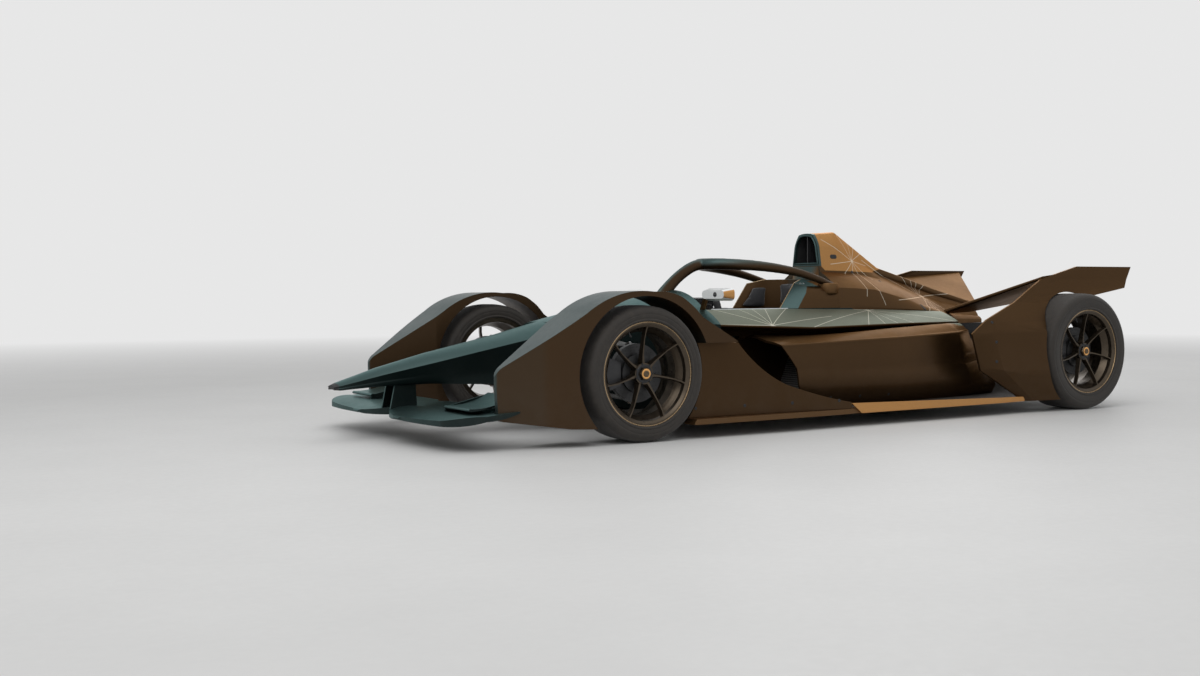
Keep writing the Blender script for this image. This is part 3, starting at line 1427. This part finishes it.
class RACER_OT_fasteners(Operator):
    """Quarter-turn fasteners seated on the bodywork"""

    bl_idname = "racer.fasteners"
    bl_label = "Fasteners"

    head = [(0.0085, 0.0), (0.0085, 0.0012), (0.0078, 0.0018), (0.0062, 0.0018), (0.0058, 0.0010)]
    wing, wing_height = (0.0095, 0.0018, 0.0012), Vector((0, 0, 0.0012))

    def execute(self, context):
        """Rows of fasteners, left and right."""
        heads = []
        for nodes, first, last, direction, count in FASTENERS:
            for side, _ in SIDES:
                sided = tuple(node.replace("left", "right") if side < 0 else node for node in nodes)
                way = Vector(direction)
                way.y *= side
                for n in range(count):
                    start = Vector(first).lerp(Vector(last), n / max(count - 1, 1))
                    start.y *= side
                    place, normal = hit(sided, start, way)
                    if abs(place.y) > HALF_WIDTH - 0.003 and abs(normal.y) > 0.5:
                        place -= normal * 0.0013
                    turn = random.Random(len(heads)).uniform(0, pi)
                    seat = along(place - normal * 0.0006, normal, turn)
                    heads.append(stepped(self.head, 20, seat))
                    heads.append(block(self.wing, 0.0003, seat @ Matrix.Translation(self.wing_height), 1))
        new_piece("quarter_turn_fasteners", joined(heads), "chassis", "dark_steel")
        return {"FINISHED"}


def bowed(start, end, rise, steps):
    """Points from start up to, but not including, end, bowed to the left by rise."""
    start, end = Vector(start), Vector(end)
    line = end - start
    left = Vector((-line.y, line.x)).normalized()
    return [start + line * (n / steps) + left * rise * 4 * (n / steps) * (1 - n / steps) for n in range(steps)]


class RACER_OT_intake(Operator):
    """Lips round the intake, its inner splitter, and the slots in the headrest cover"""

    bl_idname = "racer.intake"
    bl_label = "Intake"

    crown, sill, sill_half = 1.018, 0.862, 0.106
    splitter_steps, splitter_start, splitter_length = 6, 0.012, 0.20
    throat = 0.26  # depth over which the throat closes in

    def execute(self, context):
        """Trim of the intake."""
        crown, sill, wide = self.crown, self.sill, self.sill_half
        top = crown + 0.008
        half = (
            bowed((wide, sill), (0.088, 0.958), 0.0, 6)
            + bowed((0.088, 0.958), (0.050, crown), -0.005, 6)
            + bowed((0.050, crown), (0.0, top), -0.002, 4)
        )
        other = [Vector((-p.x, p.y)) for p in reversed(half)]
        loop = half + [Vector((0, top))] + other + bowed((-wide, sill), (wide, sill), 0.0, 8)[1:]
        points = [(COVER_FRONT + 0.001, p.x, p.y) for p in loop]
        new_piece("intake_lip", closed_pipe(points, 0.0055, 10), "chassis", "cool_black")
        walls = bmesh.new()
        steps = self.splitter_steps
        depths = [self.splitter_start + self.splitter_length * n / steps for n in range(steps + 1)]
        for y in (-0.0015, 0.0015):
            for depth in depths:
                shrink = depth / self.throat
                walls.verts.new((COVER_FRONT - depth, y, sill + 0.014 * shrink + 0.001))
                walls.verts.new((COVER_FRONT - depth, y, crown + 0.006 - 0.060 * shrink))
        corners = list(walls.verts)
        off = 2 * len(depths)  # from the right wall's corners to the left wall's
        for n in range(len(depths) - 1):
            a, b = 2 * n, 2 * (n + 1)
            for face in (
                (a, b, b + 1, a + 1),
                (a + off, a + 1 + off, b + 1 + off, b + off),
                (a, a + off, b + off, b),
                (a + 1, b + 1, b + 1 + off, a + 1 + off),
            ):
                walls.faces.new([corners[k] for k in face])
        for a in (0, off - 2):
            walls.faces.new([corners[k] for k in (a, a + 1, a + 1 + off, a + off)])
        new_piece("intake_splitter", walls, "chassis", "woven")
        slots = []
        for side, _ in SIDES:
            place, normal = hit(("intake_fin", "engine_cover"), (COVER_FRONT - 0.12, side * 0.5, 0.902), (0, -side, 0))
            ahead = Vector((1, 0, 0))
            ahead = (ahead - normal * ahead.dot(normal)).normalized()
            seat = set_square(place, ahead, normal.cross(ahead), normal)
            slots.append(plate(rounded_loop(0.026, 0.0125, 0.012), -0.002, 0.0012, seat, 0.0006))
            place, normal = hit(("engine_cover",), (-0.997, side * 0.278, 1.0), DOWN)
            slots.append(plate(rounded_loop(0.009, 0.026, 0.0085), -0.002, 0.0008, along(place, normal), 0.0006))
        new_piece("cover_slots", joined(slots), "chassis", "matt_black")
        return {"FINISHED"}


class RACER_OT_mirrors(Operator):
    """Mirror glass in its seat and the small lens ahead of each housing"""

    bl_idname = "racer.mirrors"
    bl_label = "Mirrors"

    sweep = radians(10)  # how far the housings' outer ends lean back
    lens = [
        (0.0130, 0.0), (0.0130, 0.0025), (0.0118, 0.0034), (0.0098, 0.0034), (0.0090, 0.0020), (0.0050, 0.0030)
    ]
    lens_seat = Vector((0.016, 0, 0.0305))

    def execute(self, context):
        """Left and right."""
        for side, name in SIDES:
            outward = Vector((-sin(self.sweep), cos(self.sweep) * side, 0))
            ahead = Vector((cos(self.sweep), sin(self.sweep) * side, 0))
            housing = Vector((KINGPIN.x - 0.746, side * 0.408, 0.686))
            seat = set_square(housing, outward, Vector((0, 0, side)), ahead)
            glass = plate(rounded_loop(0.0925, 0.0255, 0.0175), -0.0262, -0.0238, seat)
            new_piece(f"mirror_glass_{name}", glass, "chassis", "silvered")
            disc = stepped(self.lens, 28, seat @ Matrix.Translation(self.lens_seat))
            new_piece(f"mirror_lens_{name}", disc, "chassis", "screen")
        return {"FINISHED"}


FILLING_FRAMES = 20


def swollen(piece, cap):
    """Fill a pad by simulation: it swells under pressure, and no point moves further than cap."""
    rest = [vertex.co.copy() for vertex in melted(piece, 0.005).vertices]
    cloth = piece.modifiers.new("filling", "CLOTH")
    cloth.settings.use_pressure = True
    cloth.settings.uniform_pressure_force = 4.0
    cloth.settings.effector_weights.gravity = 0
    cloth.point_cache.frame_start = 1
    cloth.point_cache.frame_end = FILLING_FRAMES
    scene = bpy.context.scene
    for number in range(1, FILLING_FRAMES + 1):
        scene.frame_set(number)
    for vertex, start in zip(settle(piece).vertices, rest):
        move = vertex.co - start
        if move.length > cap:
            vertex.co = start + move.normalized() * cap
    scene.frame_set(1)


def padded_piece(name, shape, cap):
    """A head pad: filled, with a fair surface and its cover."""
    piece = new_piece(name, shape, "chassis", "pad_cover", smooth=None)
    swollen(piece, cap)
    divide = piece.modifiers.new("fair_surface", "SUBSURF")
    divide.levels = divide.render_levels = 1
    data = settle(piece)
    data.materials.clear()
    data.materials.append(material("pad_cover"))
    shade_smooth(data)


class RACER_OT_head_pads(Operator):
    """Padded head surround: two side pads and a back pad, with sewn edges"""

    bl_idname = "racer.head_pads"
    bl_label = "Head pads"

    # outline of the left pad, seen from above
    outline = [(-0.128, 0.158), (0.004, 0.193), (0.002, 0.166), (-0.030, 0.142), (-0.120, 0.122)]
    back_size = (0.034, 0.168, 0.112)

    def execute(self, context):
        """Three pads."""
        low, high = COCKPIT_RIM + 0.012, REST_HIGH.z - 0.048
        for side, name in SIDES:
            outline = self.outline if side > 0 else reversed(self.outline)
            shape = plate([(x, y * side) for x, y in outline], low, high)
            for vertex in shape.verts:
                lean = min(1.0, max(0.15, (vertex.co.x + 0.13) / 0.13))
                vertex.co.x -= lean * WALL_LEAN * (vertex.co.z - COCKPIT_RIM)
            bevelled(shape, 0.007)
            padded_piece(f"head_pad_{name}", shape, 0.006)
        back = Vector((COVER_FRONT + 0.112, 0, COCKPIT_RIM + 0.082))
        padded_piece("head_pad_back", block(self.back_size, 0.010, Matrix.Translation(back)), 0.007)
        return {"FINISHED"}


# x and z of the seat's face, from its front lip to its top
SEAT_STOPS = [
    Vector(stop)
    for stop in (
        (0.286, 0.205), (0.20, 0.196), (0.10, 0.184), (0.02, 0.192), (-0.05, 0.232),
        (-0.12, 0.308), (-0.20, 0.402), (-0.27, 0.482), (-0.330, 0.550),
    )
]


def seat_line(t):
    """A point on the seat's face and its outward normal, in x and z, from the front lip (0) to the top (1)."""
    place = t * (len(SEAT_STOPS) - 1)
    n = min(int(place), len(SEAT_STOPS) - 2)
    part = place - n
    a, b, c, d = neighbours(SEAT_STOPS, n)
    point = smooth_step(a, b, c, d, part)
    slope = 0.5 * ((c - a) + 2 * (2 * a - 5 * b + 4 * c - d) * part + 3 * (3 * b - a - 3 * c + d) * part**2)
    slope.normalize()
    return point, Vector((-slope.y, slope.x)) if slope.x > 0 else Vector((slope.y, -slope.x))


class RACER_OT_seat(Operator):
    """Padded seat with bolsters and sewn channels"""

    bl_idname = "racer.seat"
    bl_label = "Seat"

    rows, columns = 72, 28
    channels = 11
    middle = 0.72  # share of the half width between the bolsters
    thickness = 0.052

    def drop(self, t, side, edge):
        """How deep the cover lies below the seat's line."""
        hollow = 0.026 * (1 - min(1.0, side / self.middle) ** 3)
        roll = 0.030 * max(0.0, (side - 0.80) / 0.20) ** 2.2
        channel = 0.0
        if side < self.middle:
            channel = 0.0055 * max(0.0, 1 - abs((t * self.channels) % 1.0 - 0.5) / 0.09)
        sewn = 0.006 * max(0.0, 1 - abs(side - 0.74) / 0.035)
        return hollow + roll + channel + sewn + 0.016 * (1 - edge)

    def execute(self, context):
        """A lofted pad."""
        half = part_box("seat")[1].y - 0.004
        rows, columns = self.rows, self.columns
        top, bottom = [], []
        for row in range(rows + 1):
            t = row / rows
            point, normal = seat_line(t)
            edge = min(1.0, min(t, 1 - t) * 14) ** 0.5
            base = point - normal * (self.thickness * edge + 0.012)
            for column in range(columns + 1):
                v = column / columns * 2 - 1
                side = abs(v)
                pull = 0.006 * sin(pi * t * self.channels) ** 2 if side > 0.97 else 0.0
                place = point - normal * self.drop(t, side, edge)
                top.append((place.x, v * (half - pull), place.y))
                bottom.append((base.x, v * (half - 0.010), base.y))
        count, shift = columns + 1, len(top)
        faces = []
        for row in range(rows):
            for column in range(columns):
                a = row * count + column
                faces.append((a, a + 1, a + count + 1, a + count))
                faces.append((shift + a, shift + a + count, shift + a + count + 1, shift + a + 1))
        for row in range(rows):
            a, b = row * count, row * count + columns
            faces.append((a, a + count, shift + a + count, shift + a))
            faces.append((b, shift + b, shift + b + count, b + count))
        for column in range(columns):
            a, b = column, rows * count + column
            faces.append((a, shift + a, shift + a + 1, a + 1))
            faces.append((b, b + 1, shift + b + 1, shift + b))
        shape = bmesh.new()
        made = [shape.verts.new(point) for point in top + bottom]
        for face in faces:
            shape.faces.new([made[n] for n in face])
        piece = new_piece("seat_pad", shape, "chassis", "pad_cover", smooth=60)
        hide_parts("seat")
        return {"FINISHED"}


# half widths and half thicknesses round a strap's section, as shares of the whole
STRAP_SECTION = (
    (-1, -0.5), (-0.92, 0.5), (-0.5, 0.62), (0.5, 0.62), (0.92, 0.5), (1, -0.5), (0.5, -0.5), (-0.5, -0.5)
)
STRAP_THICKNESS = 0.0022


def strap(stops, width):
    """A flat strap. Each stop holds a place, the way of the width and the way that the face looks."""
    shape, rings = bmesh.new(), []
    for stop in stops:
        centre, across, normal = (Vector(part) for part in stop)
        across.normalize()
        normal.normalize()
        ring = [centre + across * u * width / 2 + normal * w * STRAP_THICKNESS for u, w in STRAP_SECTION]
        rings.append([shape.verts.new(point) for point in ring])
    return capped(shape, rings)


class RACER_OT_harness(Operator):
    """Six-point harness that lies on the seat, with its rotary buckle and adjusters"""

    bl_idname = "racer.harness"
    bl_label = "Harness"

    buckle = [
        (0.030, -0.007), (0.033, -0.003), (0.033, 0.004), (0.030, 0.008), (0.017, 0.009), (0.015, 0.013), (0.009, 0.014)
    ]
    buckle_t = 0.36  # where the buckle lies on the seat's line
    shoulder_steps, lap_steps = 26, 12

    def shoulder_belt(self, side):
        """Stops of a belt from the top of the seat to the buckle."""
        stops = []
        for n in range(self.shoulder_steps + 1):
            fade = n / self.shoulder_steps
            here, out = seat_line(0.985 + (self.buckle_t + 0.05 - 0.985) * n / self.shoulder_steps)
            y = side * (0.078 * (1 - fade) + 0.026 * fade)
            lift = -0.012 + 0.036 * max(0.0, fade - 0.45) / 0.55
            stops.append(((here.x + out.x * lift, y, here.y + out.y * lift), LEFTWARD, (out.x, 0, out.y)))
        return stops

    def lap_belt(self, side, buckle):
        """Stops of a belt from the hip to the buckle."""
        stops = []
        for n in range(self.lap_steps + 1):
            fade = n / self.lap_steps
            x = -0.055 + (buckle.x + 0.004 + 0.055) * fade
            y = side * (0.186 * (1 - fade) + 0.022 * fade)
            z = 0.236 + (buckle.z - 0.236) * fade + (0.004 + 0.006 * sin(pi * fade))
            stops.append(((x, y, z), (0.85, 0, 0.5), (-0.5, side * 0.2, 0.85)))
        return stops

    def leg_belt(self, side):
        """Stops of a belt from between the legs to the buckle."""
        stops = []
        for n in range(self.lap_steps + 1):
            here, out = seat_line(0.17 + (self.buckle_t - 0.02 - 0.17) * n / self.lap_steps)
            lift = -0.020 + 0.040 * (n / self.lap_steps) ** 1.5
            y = side * (0.040 - 0.022 * n / self.lap_steps)
            stops.append(((here.x + out.x * lift, y, here.y + out.y * lift), LEFTWARD, (out.x, 0, out.y)))
        return stops

    def execute(self, context):
        """Belts and metalwork."""
        width = context.scene.racer_cockpit.belt_width
        point, normal = seat_line(self.buckle_t)
        up = Vector((normal.x, 0, normal.y))
        buckle = Vector((point.x, 0, point.y)) + up * 0.026
        belts, metal = [], []
        for side, _ in SIDES:
            stops = self.shoulder_belt(side)
            belts.append(strap(stops, width))
            middle, _, out = (Vector(part) for part in stops[self.shoulder_steps // 2])
            seat = set_square(middle + out * 0.003, LEFTWARD, out.cross(LEFTWARD), out)
            metal.append(plate(rounded_loop(width / 2 + 0.007, 0.019, 0.005), -0.0035, 0.0025, seat, 0.001))
            belts.append(strap(self.lap_belt(side, buckle), width))
        belts += [strap(self.leg_belt(side), width * 0.7) for side, _ in SIDES]
        new_piece("harness_webbing", joined(belts), "chassis", "belt_webbing", smooth=40)
        metal.append(stepped(self.buckle, 40, along(buckle, up)))
        metal.append(block((0.058, 0.012, 0.005), 0.002, along(buckle + up * 0.014, up, 0.6)))
        new_piece("harness_metalwork", joined(metal), "chassis", "bright_steel")
        return {"FINISHED"}


class RACER_OT_steering_wheel(Operator):
    """Grips, blank screen, buttons, knobs and paddles of the steering wheel"""

    bl_idname = "racer.steering_wheel"
    bl_label = "Steering wheel"

    tilt = radians(12)
    grip_steps, grip_half_width, grip_height = 14, 0.124, 0.124
    screen_rise = 0.034
    button = [(0.0068, 0), (0.0068, 0.004), (0.0058, 0.006), (0.0030, 0.0062)]
    knob = [(0.0125, 0), (0.0125, 0.003), (0.0095, 0.004), (0.0090, 0.012), (0.0075, 0.0135)]
    release = [(0.034, 0.0), (0.034, 0.012), (0.030, 0.016), (0.026, 0.016), (0.024, 0.030), (0.018, 0.034)]
    # x, y and colour of the buttons, and x of the knobs
    buttons = [
        (0.066, 0.052, "black"),
        (0.066, 0.030, "pale"),
        (-0.066, 0.052, "red"),
        (-0.066, 0.030, "pale"),
        (0.060, -0.052, "red"),
        (-0.060, -0.052, "black"),
        (0.030, -0.060, "black"),
        (-0.030, -0.060, "black"),
    ]
    knobs = (-0.042, 0.0, 0.042)

    def execute(self, context):
        """Controls on both faces of the plate."""
        ahead = Vector((cos(self.tilt), 0, -sin(self.tilt)))
        upward = Vector((sin(self.tilt), 0, cos(self.tilt)))
        plate_place = set_square(Vector((WHEEL_HUB.x, 0, WHEEL_HUB.z)), LEFTWARD, upward, ahead)

        def at(x, y, z):
            """A place on the plate."""
            return plate_place @ Matrix.Translation((x, y, z))

        body, steps = BODY_OF["steering_wheel"], self.grip_steps
        grips = []
        bulge = [sin(pi * n / steps) for n in range(steps + 1)]
        for side, _ in SIDES:
            points, radii = [], []
            for n in range(steps + 1):
                across = side * (self.grip_half_width + 0.004 * bulge[n])
                up = self.grip_height * (n / steps - 0.5)
                points.append(plate_place @ Vector((across, up, 0.013)))
                groove = (0.004 if n in (0, steps) else 0) - (0.0009 if n % 2 else 0)
                radii.append(0.0175 + 0.0028 * bulge[n] - groove)
            grips.append(pipe(points, radii, 20))
        new_piece("wheel_grips", joined(grips), body, "grip_rubber", smooth=60)
        screen = plate(rounded_loop(0.052, 0.028, 0.005), -0.0035, 0.001, at(0, self.screen_rise, 0))
        new_piece("wheel_screen", screen, body, "screen")
        loop = [plate_place @ Vector((x, y + self.screen_rise, -0.0025)) for x, y in rounded_loop(0.054, 0.030, 0.006)]
        new_piece("wheel_bezel", closed_pipe(loop, 0.0022, 8), body, "matt_black")
        parts = {"red": [], "pale": [], "black": []}
        for x, y, shade in self.buttons:
            parts[shade].append(stepped(self.button, 18, plate_place @ along((x, y, 0.0), DOWN)))
        for x in self.knobs:
            parts["black"].append(stepped(self.knob, 14, plate_place @ along((x, -0.022, 0.0), DOWN)))
            parts["pale"].append(block((0.0016, 0.008, 0.0012), 0.0004, at(x, -0.018, -0.0138), 1))
        for shade, finish in (("red", "switch_red"), ("pale", "switch_pale"), ("black", "matt_black")):
            new_piece(f"wheel_controls_{shade}", joined(parts[shade]), body, finish)
        blade = rounded_loop(0.030, 0.026, 0.010)
        paddles = [plate(blade, 0.034, 0.037, at(side * 0.078, 0.018, 0), 0.001) for side, _ in SIDES]
        paddles += [block((0.06, 0.012, 0.012), 0.003, at(side * 0.045, 0.018, 0.031)) for side, _ in SIDES]
        new_piece("wheel_paddles", joined(paddles), body, "woven")
        new_piece("wheel_quick_release", stepped(self.release, 36, at(0, 0, 0.025)), body, "nut_gold")
        return {"FINISHED"}


class RACER_OT_tail(Operator):
    """Rain light with its bezel and prism lens"""

    bl_idname = "racer.tail"
    bl_label = "Tail"

    def execute(self, context):
        """The lamp at the back of the car."""
        low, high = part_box("rain_light")
        centre = (low + high) / 2
        backward = Vector((-1, 0, 0))
        seat = set_square(Vector((high.x, centre.y, centre.z)), LEFTWARD, Vector(DOWN), backward)
        depth, half_y, half_z = high.x - low.x, (high.y - low.y) / 2, (high.z - low.z) / 2

        def loop(inset, radius):
            """The lamp's outline, made smaller all round."""
            return rounded_loop(half_y - inset, half_z - inset, radius)

        outer, edge, inner = loop(0, 0.010), loop(0.002, 0.009), loop(0.006, 0.006)
        levels = [(outer, 0.0), (outer, depth - 0.002), (edge, depth), (inner, depth), (inner, depth - 0.006)]
        shape = bmesh.new()
        capped(shape, [[shape.verts.new((x, y, z)) for x, y in outline] for outline, z in levels])
        piece = new_piece("rain_light_housing", placed(shape, seat), "chassis", "matt_black")
        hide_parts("rain_light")
        glass = plate(loop(0.0065, 0.006), depth - 0.007, depth - 0.002, seat, 0.001)
        new_piece("rain_light_lens", glass, "chassis", "lamp_red")
        return {"FINISHED"}


STEPS = [
    RACER_OT_finishes,
    RACER_OT_bodywork,
    RACER_OT_hoop,
    RACER_OT_headrest,
    RACER_OT_cockpit_trim,
    RACER_OT_tyres,
    RACER_OT_wheel_fittings,
    RACER_OT_suspension_fittings,
    RACER_OT_fasteners,
    RACER_OT_intake,
    RACER_OT_mirrors,
    RACER_OT_head_pads,
    RACER_OT_seat,
    RACER_OT_harness,
    RACER_OT_steering_wheel,
    RACER_OT_tail,
]


class RACER_OT_stage(Operator):
    """Pale floor, soft studio light and the camera"""

    bl_idname = "racer.stage"
    bl_label = "Stage"

    half_floor = 60
    camera_place = Vector((4.7987, 6.0102, 0.6896))
    yaw, pitch, roll = radians(-121.693), radians(-1.8665), radians(-0.3459)
    # name, place, aim, size and share of the power of each lamp
    lamps = [
        ("key_lamp", (4.4, 3.2, 5.2), (0.2, 0.2, 0.3), (6.5, 4.0), 1.1),
        ("top_lamp", (-0.6, 0.6, 6.4), (-0.4, 0.0, 0.3), (8.0, 5.0), 0.7),
        ("rear_lamp", (-5.2, -4.2, 3.4), (-0.6, 0.0, 0.4), (4.0, 3.0), 0.35),
    ]

    def floor(self, context):
        """A pale floor that fades into the background, as far as the eye and shiny paint can see."""
        settings = context.scene.racer_stage
        sheet = bpy.data.meshes.new("studio_floor")
        end = self.half_floor
        sheet.from_pydata([(-end, -end, 0), (end, -end, 0), (end, end, 0), (-end, end, 0)], [], [(0, 1, 2, 3)])
        floor = bpy.data.objects.new("studio_floor", sheet)
        context.scene.collection.objects.link(floor)
        ground = Finish("studio_floor", specular_ior_level=0.25)
        where = ground.place()
        cloud = ground.remap(ground.noise(where, 1.7, 4.0, 0.6), 0.3, 0.7, 0.0, 1.0)
        ground.set(
            base_color=ground.mix(cloud, settings.floor_colour, tint(settings.floor_colour, 1.04)),
            roughness=ground.remap(ground.noise(where, 30.0, 4.0, 0.6), 0.3, 0.7, 0.45, 0.6),
        )
        fade, glow, path = ground.node("MixShader"), ground.node("Emission"), ground.node("LightPath")
        ground.feed(opaque(settings.sky_colour), glow.inputs["Color"])
        x, y, _ = ground.split(where)
        far = ground.remap(ground.reach(x, y), 5.0, 16.0, 0.0, 1.0)
        shown = ground.math("MAXIMUM", path.outputs["Is Camera Ray"], path.outputs["Is Glossy Ray"])
        for number, value in enumerate((ground.times(far, shown), ground.shader.outputs[0], glow.outputs[0])):
            ground.feed(value, fade.inputs[number])
        ground.feed(fade.outputs[0], ground.tree.nodes["Material Output"].inputs["Surface"])
        sheet.materials.append(ground.material)

    def world(self, context):
        """A pale background that lights the car less than it shows."""
        settings = context.scene.racer_stage
        world = bpy.data.worlds.new("studio")
        context.scene.world = world
        world.use_nodes = True
        sky = Wiring(world.node_tree)
        sky.tree.nodes.clear()
        out, mix, path = sky.node("OutputWorld"), sky.node("MixShader"), sky.node("LightPath")
        seen, light = sky.node("Background"), sky.node("Background")
        for node, shade, strength in ((seen, settings.sky_colour, 1.0), (light, (1, 1, 1), settings.fill)):
            sky.feed(opaque(shade), node.inputs["Color"])
            sky.feed(strength, node.inputs["Strength"])
        shown = sky.math("MAXIMUM", path.outputs["Is Camera Ray"], path.outputs["Is Glossy Ray"])
        shown = sky.math("MAXIMUM", shown, path.outputs["Is Transmission Ray"])
        for number, value in enumerate((shown, light.outputs[0], seen.outputs[0])):
            sky.feed(value, mix.inputs[number])
        sky.feed(mix.outputs[0], out.inputs["Surface"])

    def execute(self, context):
        """Everything that isn't the car."""
        settings, scene = context.scene.racer_stage, context.scene
        self.floor(context)
        self.world(context)
        for name, place, aim, size, part in self.lamps:
            lamp_data = bpy.data.lights.new(name, "AREA")
            lamp_data.shape = "RECTANGLE"
            lamp_data.size, lamp_data.size_y = size
            lamp_data.energy = settings.key_power * part
            lamp = bpy.data.objects.new(name, lamp_data)
            scene.collection.objects.link(lamp)
            lamp.matrix_world = along(place, Vector(place) - Vector(aim))

        yaw, pitch, roll = self.yaw, self.pitch, self.roll
        ahead = Vector((cos(yaw) * cos(pitch), sin(yaw) * cos(pitch), sin(pitch)))
        right = ahead.cross(Vector((0, 0, 1))).normalized()
        up = right.cross(ahead)
        right, up = right * cos(roll) + up * sin(roll), up * cos(roll) - right * sin(roll)
        data = bpy.data.cameras.new("view")
        data.sensor_fit = "HORIZONTAL"
        data.sensor_width = 36.0
        data.lens = settings.lens
        data.clip_end = 200.0
        camera = bpy.data.objects.new("view", data)
        scene.collection.objects.link(camera)
        camera.matrix_world = set_square(self.camera_place, right, up, -ahead)
        scene.camera = camera
        scene.view_settings.view_transform = "Standard"
        return {"FINISHED"}


class RACER_PT_panel(Panel):
    """Steps and settings in the sidebar"""

    bl_idname = "RACER_PT_panel"
    bl_label = "Racing Car"
    bl_space_type = "VIEW_3D"
    bl_region_type = "UI"
    bl_category = "Racing Car"

    def draw(self, context):
        layout = self.layout
        for group in ("racer_body", "racer_wheels", "racer_cockpit", "racer_stage"):
            box = layout.box()
            settings = getattr(context.scene, group)
            for name in settings.bl_rna.properties.keys():
                if name not in ("rna_type", "name"):
                    box.prop(settings, name)
        for step in STEPS + [RACER_OT_stage]:
            layout.operator(step.bl_idname)


GROUPS_OF_SETTINGS = {
    "racer_body": BodySettings,
    "racer_wheels": WheelSettings,
    "racer_cockpit": CockpitSettings,
    "racer_stage": StageSettings,
}
CLASSES = [*GROUPS_OF_SETTINGS.values(), *STEPS, RACER_OT_stage, RACER_PT_panel]


def register():
    """Add the classes and their settings to Blender."""
    for each in CLASSES:
        bpy.utils.register_class(each)
    for name, kind in GROUPS_OF_SETTINGS.items():
        setattr(bpy.types.Scene, name, PointerProperty(type=kind))


def unregister():
    """Take them away again."""
    for name in GROUPS_OF_SETTINGS:
        delattr(bpy.types.Scene, name)
    for each in reversed(CLASSES):
        bpy.utils.unregister_class(each)


def main():
    """Make every piece in order, then note the sizes."""
    register()
    for step in [*STEPS, RACER_OT_stage]:
        family, name = step.bl_idname.split(".")
        getattr(getattr(bpy.ops, family), name)()


if __name__ == "__main__":
    main()
